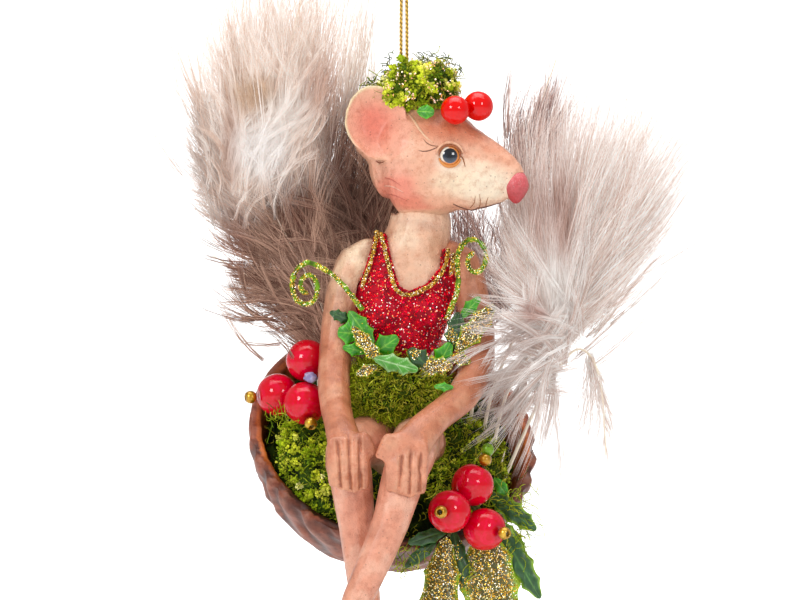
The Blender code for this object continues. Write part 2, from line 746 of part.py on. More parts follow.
def make_arms(finish, others):
    """Both arms, from the shoulders to the hands that lie on the knees."""
    arm = ARM_THICKNESS / 2
    hand = HAND_WIDTH / 2
    left_rows = [(-10.8 * MM, 0.5 * MM, SHOULDER_Z + 1.5 * MM, 1.14 * arm, 1.14 * arm),
                 (-13.2 * MM, 0.0, SHOULDER_Z - 6.0 * MM, 1.12 * arm, 1.12 * arm),
                 (-15.0 * MM, -2.5 * MM, SHOULDER_Z - 17.0 * MM, 0.97 * arm, 0.97 * arm),
                 (-15.3 * MM, -8.5 * MM, SHOULDER_Z - 26.5 * MM, 0.95 * arm, 0.92 * arm),
                 (-14.2 * MM, -17.5 * MM, HIP_Z + 5.4 * MM, 0.92 * arm, 0.85 * arm),
                 (-12.6 * MM, -26.4 * MM, HIP_Z + 0.4 * MM, 0.90 * hand, 2.6 * MM),
                 (-12.0 * MM, -28.0 * MM, HIP_Z - 4.5 * MM, 0.92 * hand, 1.9 * MM)]
    palm = Vector((-12.2 * MM, -27.6 * MM, HIP_Z + 1.4 * MM))
    left = make_hand("arm_left", left_rows, fan(palm, 0.2 * MM),
                     (mm(-8.6, -27.6, 1e3 * HIP_Z + 2.6), mm(-6.6, -27.4, 1e3 * HIP_Z - 0.6)),
                     finish, others)
    right_rows = [(12.8 * MM, 1.0 * MM, SHOULDER_Z + 1.5 * MM, 1.10 * arm, 1.10 * arm),
                  (15.2 * MM, 0.5 * MM, SHOULDER_Z - 8.0 * MM, 1.08 * arm, 1.08 * arm),
                  (16.2 * MM, -3.0 * MM, SHOULDER_Z - 20.0 * MM, 1.03 * arm, 1.03 * arm),
                  (12.7 * MM, -11.0 * MM, SHOULDER_Z - 27.5 * MM, 0.95 * arm, 0.92 * arm),
                  (7.2 * MM, -19.5 * MM, HIP_Z + 6.6 * MM, 0.90 * arm, 0.85 * arm),
                  (2.0 * MM, -27.6 * MM, HIP_Z + 1.2 * MM, 0.92 * hand, 2.6 * MM),
                  (0.4 * MM, -30.2 * MM, HIP_Z - 4.0 * MM, 0.94 * hand, 1.9 * MM)]
    palm = Vector((0.8 * MM, -29.8 * MM, HIP_Z + 0.4 * MM))
    right = make_hand("arm_right", right_rows, fan(palm, -0.5 * MM),
                      (mm(-3.6, -29.6, 1e3 * HIP_Z + 2.2), mm(-5.4, -29.8, 1e3 * HIP_Z - 1.4)),
                      finish, others + [left])
    return left, right


def make_leg(name, rows, toes, finish, others):
    """A bent leg, from the hip over the knee to the foot."""
    leg = limb(name, rows, finish)
    for start, end in toes:
        toe = round_limb("toe", [(*start, 0.20 * FOOT_THICKNESS), (*end, 0.16 * FOOT_THICKNESS)],
                         finish, per_span=1, sides=7, cap_rings=1)
        combine(leg, toe, "UNION")
    slim(leg, 0.75)
    cut_clear(leg, others)
    return leg


def toes_at(tip, along, count=4):
    """Start and end points of the toes at the tip of a foot."""
    side = along.cross(Vector((0, 1, 0.4))).normalized()
    pairs = []
    for index in range(count):
        share = (index - (count - 1) / 2) / ((count - 1) / 2)
        start = tip + side * (share * 0.38 * FOOT_THICKNESS)
        pairs.append((start, start + along * (0.24 * FOOT_LENGTH) + side * (share * 0.6 * MM)))
    return pairs


def leg_rows(hip_x, knee, ankle, toe, shin_bend):
    """Stations of a leg through its knee, its shin, its ankle and its foot."""
    half = LEG_THICKNESS / 2
    hip = Vector((hip_x, 4.0 * MM, HIP_Z + 0.5 * MM))
    thigh = Vector((0.5 * (hip_x + knee.x), -6.0 * MM, HIP_Z + 1.5 * MM))
    below = knee.lerp(ankle, 0.16) + Vector((0, -1.8 * MM, 0))
    shin = knee.lerp(ankle, 0.45) + shin_bend
    calf = knee.lerp(ankle, 0.74) + 0.6 * shin_bend
    heel = ankle.lerp(toe, 0.30) + Vector((0, 1.2 * MM, -1.5 * MM))
    instep = ankle.lerp(toe, 0.66) + Vector((0, 0, 0.6 * MM))
    foot = FOOT_THICKNESS / 2
    return [(*hip, 1.36 * half, 1.36 * half), (*thigh, 1.38 * half, 1.34 * half),
            (*knee, 0.5 * KNEE_THICKNESS, 0.5 * KNEE_THICKNESS),
            (*below, 0.46 * KNEE_THICKNESS, 0.46 * KNEE_THICKNESS), (*shin, 1.03 * half, 1.03 * half),
            (*calf, 0.93 * half, 0.93 * half), (*ankle, 0.84 * half, 0.84 * half),
            (*heel, 1.05 * foot, 1.0 * foot), (*instep, 1.1 * foot, 0.9 * foot),
            (*toe, 1.0 * foot, 0.62 * foot)]


def make_legs(finish, others):
    """Both legs, the right one crossed in front of the left one."""
    knee = Vector((1.6 * MM, KNEE_Y - 1.5 * MM, HIP_Z - 2.0 * MM))
    ankle = Vector((-10.4 * MM, KNEE_Y - 7.0 * MM, HIP_Z - 33.5 * MM))
    toe = ankle + Vector((-4.0 * MM, -0.6 * FOOT_LENGTH, -0.62 * FOOT_LENGTH))
    right = make_leg("leg_right", leg_rows(4.0 * MM, knee, ankle, toe, mm(0.9, -1.6, 0)),
                     toes_at(toe, (toe - ankle).normalized()), finish, others)
    knee = Vector((-12.2 * MM, KNEE_Y + 1.8 * MM, HIP_Z - 1.5 * MM))
    ankle = Vector((-8.4 * MM, KNEE_Y + 1.6 * MM, HIP_Z - 34.0 * MM))
    toe = ankle + Vector((2.8 * MM, -0.5 * FOOT_LENGTH, -0.70 * FOOT_LENGTH))
    left = make_leg("leg_left", leg_rows(-4.8 * MM, knee, ankle, toe, mm(0.1, 0.4, 0)),
                    toes_at(toe, (toe - ankle).normalized()), finish, others + [right])
    return left, right


def lifted(spot, tree, clearance):
    """The spot moved away from a surface until it lies a clearance off it."""
    for _ in range(6):
        point, normal, index, distance = tree.find_nearest(spot)
        inside = (spot - point).dot(normal) < 0.0
        if not inside and distance >= clearance:
            break
        spot = point + normal * clearance if inside else point + (spot - point) * (clearance / distance)
    return spot


def beside(spot, tree, clearance):
    """The place a clearance off the surface that lies nearest to the spot."""
    point, normal, index, distance = tree.find_nearest(spot)
    return lifted(point + normal * clearance, tree, clearance)


def braid(name, outline, inset, finish, carriers):
    """A round braid on the dress, an inset to the right-hand side of an edge."""
    clearance = BRAID_DIAMETER / 2 + 1.3 * CUT_MARGIN
    tree = surface_of(carriers)
    edge = through(outline, 4)
    points = []
    for index, (x, z) in enumerate(edge):
        before = edge[max(index - 1, 0)]
        after = edge[min(index + 1, len(edge) - 1)]
        along = Vector((after[0] - before[0], after[1] - before[1])).normalized()
        start = Vector((x + inset * along.y, -60.0 * MM, z - inset * along.x))
        hit = tree.ray_cast(start, Vector((0, 1, 0)))[0]
        if hit is not None:
            points.append(lifted(hit - Vector((0, clearance, 0)), tree, clearance))
    return mesh_tube(name, points, BRAID_DIAMETER / 2, finish)


def shell_frame():
    """The shell's own axes: X across the rim, Y from the rim to the back, Z up the rim."""
    turn = Matrix.Rotation(SHELL_TURN, 4, "Z") @ Matrix.Rotation(-SHELL_TILT, 4, "X")
    return Matrix.Translation(SHELL_CENTRE) @ turn


def shell_point(across, depth, up):
    """A point given in the shell's own axes."""
    return shell_frame() @ Vector((across, depth, up))


def bowl_rings(bm, inset, stations, segments):
    """Rings of a half ellipsoid whose wall lies an inset inside the shell's outside.

    A station is a pair: the angle from the rim to the back in degrees, and an extra reach.
    """
    rings = []
    for angle, extra in stations:
        share = math.cos(math.radians(angle))
        depth = (SHELL_DEPTH - inset) * math.sin(math.radians(angle))
        rings.append(add_ring(bm, shell_point(0, depth, 0), shell_frame().col[0].xyz,
                              shell_frame().col[2].xyz, (SHELL_WIDTH / 2 - inset) * share + extra,
                              (SHELL_HEIGHT / 2 - inset) * share + extra, segments))
    return rings


def walnut_shell(finish, segments=30):
    """Half a walnut shell with a raised lip round its rim, open towards the viewer."""
    bm = bmesh.new()
    steps = (26, 40, 54, 67, 79)
    outer = bowl_rings(bm, 0.0, [(0, SHELL_LIP), (6, SHELL_LIP), (12, 0.0)]
                       + [(angle, 0.0) for angle in steps], segments)
    inner = bowl_rings(bm, SHELL_WALL, [(0, 0.0), (10, 0.0)] + [(angle, 0.0) for angle in steps],
                       segments)
    for rings in (outer, inner):
        for first, second in zip(rings, rings[1:]):
            bridge(bm, first, second)
    bridge(bm, outer[0], inner[0])
    close_fan(bm, outer[-1], shell_point(0, SHELL_DEPTH, 0))
    close_fan(bm, inner[-1], shell_point(0, SHELL_DEPTH - SHELL_WALL, 0))
    return place_mesh("walnut_shell", bm, finish)


def moss_bed(finish, others, segments=24):
    """The packing in the shell, flat on top, that the mouse, quills and wires stand in."""
    bm = bmesh.new()
    inset = SHELL_WALL + CUT_MARGIN
    first_angle = math.degrees(math.asin(MOSS_BED_DROP / (SHELL_DEPTH - inset)))
    stations = [(first_angle, 0.0)] + [(first_angle + (88 - first_angle) * share, 0.0)
                                       for share in (0.3, 0.6, 0.85)]
    rings = bowl_rings(bm, inset, stations, segments)
    for first, second in zip(rings, rings[1:]):
        bridge(bm, first, second)
    close_fan(bm, rings[0], shell_point(0, MOSS_BED_DROP, 0))
    close_fan(bm, rings[-1], shell_point(0, SHELL_DEPTH - inset, 0))
    bed = place_mesh("moss_bed", bm, finish)
    cut_clear(bed, others, SOFT_MARGIN)
    slim(bed, 0.6)
    return bed


def shell_clump(name, across, up, radii, finish, others, phase=0.0):
    """A clump of moss in the shell, between its wall and the top of the packing."""
    frame = shell_frame() @ Matrix.Translation((across, -0.5 * MM, up))
    clump = lump(name, frame, radii, finish, phase=phase)
    inset = SHELL_WALL + 1.6 * SOFT_MARGIN
    bm = bmesh.new()
    rings = [add_ring(bm, shell_point(0, depth, 0), shell_frame().col[0].xyz,
                      shell_frame().col[2].xyz, SHELL_WIDTH / 2 - inset, SHELL_HEIGHT / 2 - inset, 24)
             for depth in (-0.5 * SHELL_DEPTH, MOSS_BED_DROP - SOFT_MARGIN)]
    bridge(bm, rings[0], rings[1])
    for ring in rings:
        bm.faces.new(ring)
    combine(clump, place_mesh("shell_room", bm, finish), "INTERSECT")
    cut_clear(clump, others, SOFT_MARGIN)
    return clump


def rest_clear(centre, radius, others):
    """Moves a ball's centre out of its neighbours until it lies a gap off the nearest."""
    for _ in range(12):
        for other in others:
            point, normal, index, distance = surface_of([other]).find_nearest(centre)
            outward = (centre - point).normalized()
            inside = outward.dot(normal) < 0.0
            if inside or distance < radius + CUT_MARGIN:
                outward = -outward if inside else outward
                centre = point + outward * (radius + CUT_MARGIN)
    return centre


def berry(name, centre, diameter, finish, segments=14, rings=9):
    """A round berry."""
    radius = diameter / 2
    return ball(name, centre, (radius, radius, radius), finish, segments, rings)


def bead_at(name, centre, diameter, direction, finish):
    """A small bead on the outside of a berry, in a given direction."""
    reach = diameter / 2 + TIP_BEAD_DIAMETER / 2 + GAP
    return berry(name, centre + direction.normalized() * reach, TIP_BEAD_DIAMETER, finish, 8, 6)


def pick_stem(name, foot, hub, centres, finish, bases=()):
    """A wire that stands in the moss and branches at its hub to each berry and leaf."""
    radius = PICK_WIRE_DIAMETER / 2
    stem = mesh_tube(name, [tuple(foot), tuple(hub)], radius, finish)
    ends = [(centre, PICK_BERRY_DIAMETER / 2 + GAP) for centre in centres]
    ends += [(base, radius + GAP) for base in bases]
    for target, clearance in ends:
        end = target - (target - hub).normalized() * clearance
        combine(stem, mesh_tube("branch", [tuple(hub), tuple(end)], radius * 0.9, finish), "UNION")
    knot = ball("bind", hub, (radius * 1.7, radius * 1.7, radius * 1.7), finish, 10, 6)
    combine(stem, knot, "UNION")
    return stem


def tendril(name, foot, rise, centre, start_angle, turns, direction, finish):
    """A curled wire: it rises from its foot and winds inwards round a centre."""
    radius = TENDRIL_CURL_DIAMETER / 2
    steps = int(14 * turns)
    curl = []
    for index in range(steps + 1):
        share = index / steps
        angle = start_angle + direction * 2 * math.pi * turns * share
        reach = radius * (1.0 - 0.78 * share)
        curl.append((centre.x + 0.82 * reach * math.cos(angle), centre.y,
                     centre.z + 1.15 * reach * math.sin(angle)))
    lead = through([tuple(foot), *[tuple(point) for point in rise], curl[0], curl[1]], 3)[:-1]
    return mesh_tube(name, lead + curl[1:], TENDRIL_DIAMETER / 2, finish)


def make_hat(finish, others):
    """The moss on the crown, with room for the cord and its knot to swing."""
    frame = Matrix.Translation((2.2 * MM, -1.0 * MM, CROWN_Z + 4.0 * MM))
    hat = lump("moss_hat", frame, (HAT_WIDTH / 2, 0.42 * HAT_WIDTH, HAT_HEIGHT / 2), finish)
    top = HAT_HEIGHT + 4.0 * MM
    low = -3.0 * MM
    half_x = KNOT_RADIUS + 0.6 * MM
    bm = bmesh.new()
    corners = []
    for height in (low, top):
        half_y = KNOT_RADIUS + 1.2 * MM + max(0.0, height) * math.tan(SWING_LIMIT)
        corners.append([bm.verts.new((x, y, PIVOT_Z + height)) for x, y in
                        ((-half_x, -half_y), (half_x, -half_y), (half_x, half_y), (-half_x, half_y))])
    bridge(bm, corners[0], corners[1])
    bm.faces.new(corners[0])
    bm.faces.new(corners[1])
    room = place_mesh("swing_room", bm, finish)
    combine(hat, room, "DIFFERENCE")
    cut_clear(hat, others)
    slim(hat, 0.8)
    return hat


def make_feathers(brown, white, mauve):
    """Both wings, each a set of plumes that lie one behind the other."""
    base = SHELL_CENTRE.z
    plumes = [
        ("plume_left_white_inner", (-11.5, 7.0), [(-13.0, 8.4, 13), (-20, 9.5, 39), (-26, 9.2, 75),
         (-21, 9.0, 103)], 11.5, 18.5, white),
        ("plume_left_white_outer", (-14.5, 9.0), [(-16.5, 10.2, 13), (-26, 11.8, 39),
         (-36, 12.4, 73), (-35, 12.8, 101)], 10.5, 12.0, white),
        ("feather_left_brown_front", (-13.4, 5.8), [(-15.2, 6.2, 14), (-17.5, 6.2, 27),
         (-27, 5.6, 46), (-38, 5.8, 66)], 14.0, 10.0, brown),
        ("feather_left_brown_inner", (-9.5, 12.6), [(-10.5, 13.4, 13), (-13, 14.4, 35),
         (-17, 14.8, 59), (-19, 15.0, 79)], 12.0, 12.5, brown),
        ("feather_left_brown_outer", (-16.5, 14.8), [(-19.0, 16.2, 16), (-30, 17.4, 36),
         (-41, 17.8, 58), (-46, 18.2, 85)], 9.5, 11.5, brown),
        ("feather_left_brown_low", (-18.5, 17.2), [(-20.0, 19.2, 20), (-26.0, 20.4, 30),
         (-34, 21.0, 35), (-43, 21.4, 40)], 7.5, 10.5, brown),
        ("feather_right_mauve", (14.0, 16.0), [(16.0, 15.4, 12), (22, 15.4, 40), (28, 15.8, 66),
         (34, 16.2, 84)], 11.5, 10.0, mauve),
        ("plume_right_white_inner", (16.5, 14.0), [(20.0, 12.2, 11), (31, 11.6, 36),
         (40, 12.0, 58), (47, 12.4, 79)], 17.0, 12.0, white),
        ("plume_right_white_outer", (18.5, 12.0), [(23.0, 8.0, 10), (34, 6.8, 26), (47, 7.0, 46),
         (61, 8.0, 68)], 15.5, 11.0, white),
        ("plume_right_low", (19.5, 9.6), [(24.5, 3.0, 4), (29.0, -5.6, 14), (28.0, -10.6, 26),
         (20.0, -11.6, 38)], 12.0, 8.5, white),
        ("plume_right_wisp", (21.0, 11.0), [(30.5, 4.0, 9), (38.0, 2.6, 19), (43.0, 1.8, 13),
         (44.5, 1.4, -5)], 2.6, 3.2, white),
    ]
    made = []
    for name, (x, y), route, left_width, right_width, finish in plumes:
        foot = Vector((x * MM, y * MM, bed_height(x * MM, y * MM) - QUILL_SET))
        points = [Vector((px * MM, py * MM, base + height * MM)) for px, py, height in route]
        front = name == "feather_left_brown_front"
        made.append(feather(name, foot, points, left_width * MM, right_width * MM, finish,
                            FRONT_CUP if front else FEATHER_CUP, FRONT_BARE if front else FEATHER_BARE))
    return made


def make_left_pick(lacquer, gold, wire):
    """Three berries on wires at the shell's left rim, with beads on two of them."""
    centres = [shell_spot(-21.3, 4.2, 16.5), shell_spot(-27.9, 6.2, 9.0), shell_spot(-21.8, -1.0, 7.2)]
    berries = [berry(name, centre, PICK_BERRY_DIAMETER, lacquer) for name, centre in
               zip(("berry_left_top", "berry_left_outer", "berry_left_inner"), centres)]
    bead_at("bead_left_outer", centres[1], PICK_BERRY_DIAMETER, Vector((-0.95, -0.28, -0.08)), gold)
    bead_at("bead_left_inner", centres[2], PICK_BERRY_DIAMETER, Vector((0.22, -0.66, -0.72)), gold)
    hub = shell_spot(-20.4, 8.0, 8.0)
    foot = Vector((-16.5 * MM, 12.0 * MM, bed_height(-16.5 * MM, 12.0 * MM) - QUILL_SET))
    return berries + [pick_stem("pick_stem_left", foot, hub, centres, wire)]


def make_right_pick(lacquer, gold, green, wire):
    """Three berries on wires at the shell's lower right, with gold beads and one green bead."""
    centres = [shell_spot(15.0, -11.5, -10.6), shell_spot(9.9, -17.5, -16.3),
               shell_spot(17.6, -12.6, -20.3)]
    berries = [berry(name, centre, PICK_BERRY_DIAMETER, lacquer) for name, centre in
               zip(("berry_right_top", "berry_right_front", "berry_right_low"), centres)]
    tips = [("bead_right_top", Vector((0.45, 0.05, 0.90))), ("bead_right_front", Vector((-0.3, -0.95, 0.0))),
            ("bead_right_low", Vector((0.70, -0.70, -0.12)))]
    for (name, direction), centre in zip(tips, centres):
        bead_at(name, centre, PICK_BERRY_DIAMETER, direction, gold)
    bud = shell_spot(18.3, -10.0, -2.9)
    berry("bead_right_green", bud, TIP_BEAD_DIAMETER, green, 8, 6)
    hub = shell_spot(14.6, -3.0, -14.8)
    foot = Vector((11.0 * MM, 4.0 * MM, bed_height(11.0 * MM, 4.0 * MM) - QUILL_SET))
    bases = [base for name, base, tip, width, arch, curl in leaf_places()]
    bases.append(bud + Vector((0, 0, -0.5 * TIP_BEAD_DIAMETER)))
    return berries + [pick_stem("pick_stem_right", foot, hub, centres, wire, bases)]


def shell_spot(x, y, height):
    """A place given by its X and Y in millimetres and its height above the shell's centre."""
    return Vector((x * MM, y * MM, SHELL_CENTRE.z + height * MM))


def bed_height(x, y):
    """The height of the packing's flat top at an X and a Y."""
    normal = shell_frame().col[1].xyz
    reach = Vector((x, y, 0)) - Vector((SHELL_CENTRE.x, SHELL_CENTRE.y, 0))
    return SHELL_CENTRE.z + (MOSS_BED_DROP - normal.dot(reach)) / normal.z


def collar_leaves(finish, carriers):
    """Four lobed leaves laid on the lower edge of the dress top."""
    places = [("collar_leaf_left_outer", (-7.4, 0.337), (-15.6, 0.170)),
              ("collar_leaf_left_inner", (-6.6, 0.383), (-0.6, 0.474)),
              ("collar_leaf_right_inner", (2.6, 0.387), (9.2, 0.478)),
              ("collar_leaf_right_outer", (5.6, 0.339), (13.0, 0.200))]
    made = []
    for name, base, tip in places:
        start = Vector((base[0] * MM, 0.0, torso_height(base[1])))
        end = Vector((tip[0] * MM, 0.0, torso_height(tip[1])))
        end = start + (end - start).normalized() * COLLAR_LEAF_LENGTH
        widths = toothed(COLLAR_LEAF_LENGTH * 0.36, 3, 2, 0.4)
        leaf = leaf_solid(name, start, end, widths, Vector((0, -1, 0)), finish, carriers=carriers)
        cut_clear(leaf, made)
        made.append(leaf)
    return made


def leaf_places():
    """Name, base, tip, width, arch and edge curl of each leaf of the right berry pick."""
    return [("holly_leaf_upper", shell_spot(18.5, -3.2, -13.2), shell_spot(29.4, -4.2, -21.5),
             HOLLY_LEAF_WIDTH, 0.3 * MM, 0.10),
            ("holly_leaf_lower", shell_spot(19.0, -5.6, -17.5), shell_spot(30.0, -7.0, -36.0),
             HOLLY_LEAF_WIDTH, 0.3 * MM, 0.05),
            ("holly_leaf_small", shell_spot(9.0, -9.4, -17.8), shell_spot(1.2, -12.4, -21.4),
             HOLLY_LEAF_WIDTH * 0.55, 0.3 * MM, 0.10),
            ("glitter_leaf_broad", shell_spot(18.0, -7.2, -19.6), shell_spot(20.8, -9.6, -49.0),
             GLITTER_LEAF_WIDTH, 1.0 * MM, 0.12),
            ("glitter_leaf_curled", shell_spot(9.4, -9.8, -22.2), shell_spot(6.6, -13.0, -49.0),
             CURLED_LEAF_WIDTH, 0.6 * MM, 0.80)]


def pick_leaves(green, glitter):
    """Holly and glittered leaves that hang from the right berry pick, one before another."""
    made = []
    for name, base, tip, width, arch, curl in leaf_places():
        holly = name.startswith("holly")
        widths = toothed(width / 2, 4, 2, 0.35) if holly else toothed(width / 2, 3, 3, 0.16)
        made.append(leaf_solid(name, base, tip, widths, Vector((0, -1, 0)),
                               green if holly else glitter, arch=arch, curl=curl))
    return made


def hang_on(name, place, pieces, parent=None):
    """An empty on a joint's axis, with the pieces that move about it."""
    axis = bpy.data.objects.new(name, None)
    bpy.context.collection.objects.link(axis)
    axis.parent = parent
    axis.location = place - parent.location if parent else place
    for piece in pieces:
        piece.parent = axis
        piece.matrix_parent_inverse = Matrix.Translation(-place)
    return axis


def main():
    """Builds every piece, hard ones first, and the soft ones clear of them."""
    for obj in list(bpy.data.objects):
        bpy.data.objects.remove(obj, do_unlink=True)

    gold = make_material("gold_cord", (0.62, 0.40, 0.10), 0.35, 0.8)
    brass = make_material("brass_wire", (0.70, 0.52, 0.20), 0.30, 1.0)
    resin = make_material("painted_resin", (0.72, 0.40, 0.26), 0.45)
    glitter = make_material("red_glitter", (0.50, 0.02, 0.03), 0.35)
    gold_glitter = make_material("gold_glitter", (0.60, 0.42, 0.12), 0.35, 0.5)
    leaf_green = make_material("leaf_green", (0.10, 0.35, 0.04), 0.50)
    glitter_leaf = make_material("glitter_leaf_green", (0.28, 0.28, 0.06), 0.40)
    moss_light = make_material("moss_light", (0.30, 0.38, 0.05), 0.95)
    moss_dark = make_material("moss_dark", (0.13, 0.18, 0.03), 0.95)
    walnut = make_material("walnut_brown", (0.30, 0.13, 0.06), 0.45)
    crimson = make_material("crimson_lacquer", (0.55, 0.01, 0.04), 0.12)
    vermilion = make_material("vermilion_lacquer", (0.70, 0.02, 0.01), 0.10)
    brown = make_material("brown_feather", (0.28, 0.18, 0.15), 0.90)
    white = make_material("white_feather", (0.80, 0.74, 0.70), 0.90)
    mauve = make_material("mauve_feather", (0.38, 0.27, 0.27), 0.90)

    cord = hanging_cord(gold)
    knot = cord_knot(gold)
    eye_screw = screw_eye(brass)
    head = make_head(resin, eye_screw)
    torso = make_torso(resin, head)
    bodice = make_bodice(glitter, torso)
    leg_left, leg_right = make_legs(resin, [torso])
    arm_left, arm_right = make_arms(resin, [torso, leg_left, leg_right])
    braids = [braid("neckline_trim", neckline(), 0.9 * MM, gold_glitter, [bodice, torso]),
              braid("armhole_trim_left", armhole(-1.0)[:3], -0.9 * MM, gold_glitter, [bodice, torso]),
              braid("armhole_trim_right", armhole(1.0)[:2], 0.9 * MM, gold_glitter, [bodice, torso])]
    shell = walnut_shell(walnut)
    feathers = make_feathers(brown, white, mauve)
    left_pick = make_left_pick(crimson, gold, brass)
    right_pick = make_right_pick(crimson, gold, leaf_green, brass)
    holly = pick_leaves(leaf_green, glitter_leaf)

    first = rest_clear(mm(11.2, -10.0, 1e3 * CROWN_Z - 2.2), HAT_BERRY_DIAMETER / 2, [head])
    hat_berries = [berry("hat_berry_left", first, HAT_BERRY_DIAMETER, vermilion)]
    second = rest_clear(mm(16.1, -5.6, 1e3 * CROWN_Z - 1.6), HAT_BERRY_DIAMETER / 2,
                        [head, hat_berries[0]])
    hat_berries.append(berry("hat_berry_right", second, HAT_BERRY_DIAMETER, vermilion))
    make_hat(moss_light, [head, eye_screw] + hat_berries)

    skirt_frame = Matrix.Translation((-2.0 * MM, -2.0 * MM, torso_height(0.575)))
    skirt = lump("moss_skirt", skirt_frame, (SKIRT_WIDTH / 2, 9.5 * MM, SKIRT_HEIGHT / 2),
                 moss_dark, phase=1.0)
    leaves = collar_leaves(leaf_green, [bodice, torso, arm_left, arm_right])
    combine(skirt, dress_form(SOFT_MARGIN, glitter), "DIFFERENCE")
    cut_clear(skirt, [torso, leg_left, leg_right, arm_left, arm_right] + leaves, 2.0 * SOFT_MARGIN)
    slim(skirt, 0.5)
    tree = surface_of([bodice, torso] + leaves)
    clearance = TENDRIL_DIAMETER / 2 + GAP
    foot = beside(mm(-10.6, -9.0, 1e3 * SHOULDER_Z - 8.4), tree, clearance)
    left_curl = Vector((-21.3 * MM, -6.6 * MM, SHOULDER_Z - 3.4 * MM))
    tendril("tendril_left", foot, [left_curl + mm(6.4, -0.6, 2.0)], left_curl, 1.2,
            TENDRIL_TURNS, 1.0, gold_glitter)
    foot = beside(mm(10.4, -9.0, 1e3 * SHOULDER_Z - 9.6), tree, clearance)
    right_curl = Vector((15.4 * MM, -7.2 * MM, SHOULDER_Z + 2.6 * MM))
    tendril("tendril_right", foot, [right_curl + mm(-3.6, -0.2, -6.4)], right_curl, 3.4,
            TENDRIL_TURNS * 0.8, -1.0, gold_glitter)

    stuck_in = [torso, leg_left, leg_right, shell] + feathers + left_pick + right_pick
    bed = moss_bed(moss_dark, [piece for piece in stuck_in if piece is not shell])
    others = [piece for piece in stuck_in if piece is not shell] + [arm_left, arm_right, skirt] + holly
    shell_clump("shell_moss_left", -19.5 * MM, -11.0 * MM, (8.0 * MM, 5.5 * MM, 19.0 * MM),
                moss_light, others)
    right_moss = shell_clump("shell_moss_right", 14.0 * MM, -8.0 * MM,
                             (11.0 * MM, 5.5 * MM, 14.0 * MM), moss_dark, others, 2.0)
    slim(right_moss, 0.7)

    figure = [obj for obj in bpy.data.objects if obj not in (cord, knot)]
    twist_axis = hang_on("twist_axis", Vector((0, 0, KNOT_TOP)), [knot])
    hang_on("swing_axis", Vector((0, 0, PIVOT_Z)), figure, twist_axis)


main()
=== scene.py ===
# %% [markdown]
# # A painted mouse in half a walnut shell
# The real ornament is a cold-cast resin mouse, painted by hand, that sits in half a walnut shell
# between dyed moss, lacquered berries and two wings of soft feathers. The solid model gives every
# piece its place and its joints. These cells give each piece its real surface.

# %% Load the solid model
import math

import bmesh
import bpy
import numpy as np
from mathutils import Matrix, Vector, noise
from mathutils.bvhtree import BVHTree


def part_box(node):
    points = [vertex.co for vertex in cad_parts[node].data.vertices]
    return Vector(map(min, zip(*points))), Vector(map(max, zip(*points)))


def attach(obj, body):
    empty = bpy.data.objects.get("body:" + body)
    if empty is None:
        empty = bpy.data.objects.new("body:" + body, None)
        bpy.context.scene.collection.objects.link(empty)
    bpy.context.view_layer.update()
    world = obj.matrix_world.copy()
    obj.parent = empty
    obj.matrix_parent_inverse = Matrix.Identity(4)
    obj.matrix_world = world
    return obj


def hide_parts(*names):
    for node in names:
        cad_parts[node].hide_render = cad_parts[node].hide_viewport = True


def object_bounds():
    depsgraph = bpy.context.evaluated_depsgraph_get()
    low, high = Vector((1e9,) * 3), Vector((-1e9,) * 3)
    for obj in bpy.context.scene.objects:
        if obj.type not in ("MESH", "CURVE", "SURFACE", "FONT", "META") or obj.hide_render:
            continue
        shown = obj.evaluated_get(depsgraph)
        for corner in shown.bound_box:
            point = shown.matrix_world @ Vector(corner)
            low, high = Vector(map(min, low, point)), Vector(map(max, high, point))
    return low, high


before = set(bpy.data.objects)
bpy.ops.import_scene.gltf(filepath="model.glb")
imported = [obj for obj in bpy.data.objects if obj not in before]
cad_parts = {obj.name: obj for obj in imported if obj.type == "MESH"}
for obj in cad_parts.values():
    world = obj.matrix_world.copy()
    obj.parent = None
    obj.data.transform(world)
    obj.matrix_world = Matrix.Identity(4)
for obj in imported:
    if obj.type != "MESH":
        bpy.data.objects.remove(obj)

SOLID_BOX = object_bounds()
MM = 0.001

# %% [markdown]
# ## Camera first
# The picture was taken square on, from the height of the mouse's neck, with a long lens that
# keeps near and far parts the same size. One picture pixel is 0.22 mm at the cord.

# %% Camera
PIXEL = 0.22 * MM
PICTURE_WIDTH = 800
CORD_PX, HOOK_PY = 404, -80  # the cord's column, and the hook's row above the picture
CAMERA_DISTANCE = 2.4
SENSOR = 36.0
VIEW_CENTRE = Vector((-0.88 * MM, 0.0, -83.6 * MM))
camera_data = bpy.data.cameras.new("long_lens")
camera_data.sensor_width = SENSOR
camera_data.lens = SENSOR * CAMERA_DISTANCE / (PICTURE_WIDTH * PIXEL)
camera_data.clip_end = 20.0
camera = bpy.data.objects.new("camera", camera_data)
bpy.context.scene.collection.objects.link(camera)
camera.location = VIEW_CENTRE + Vector((0, -CAMERA_DISTANCE, 0))
camera.rotation_euler = (math.pi / 2, 0, 0)
bpy.context.scene.camera = camera


def picture(px, py):
    """X and Z of a picture pixel on the plane of the cord."""
    return PIXEL * (px - CORD_PX), PIXEL * (HOOK_PY - py)


def pixel_of(places):
    """Picture pixels of places, or of all stations of lines."""
    return places[..., 0] / PIXEL + CORD_PX, HOOK_PY - places[..., 2] / PIXEL


print("lens", round(camera_data.lens), "mm")

# %% [markdown]
# ## Small helpers
# A colour is written as an sRGB hex value, as in a paint chart, and turned to linear light once.
# One function adds a shader node with its settings and links. Every material starts from the
# same plain surface shader.

# %% Colours and nodes
def colour(code):
    """Linear colour of an sRGB hex value."""
    parts = [int(code[index:index + 2], 16) / 255 for index in (0, 2, 4)]
    return tuple(part / 12.92 if part < 0.04045 else ((part + 0.055) / 1.055) ** 2.4
                 for part in parts)


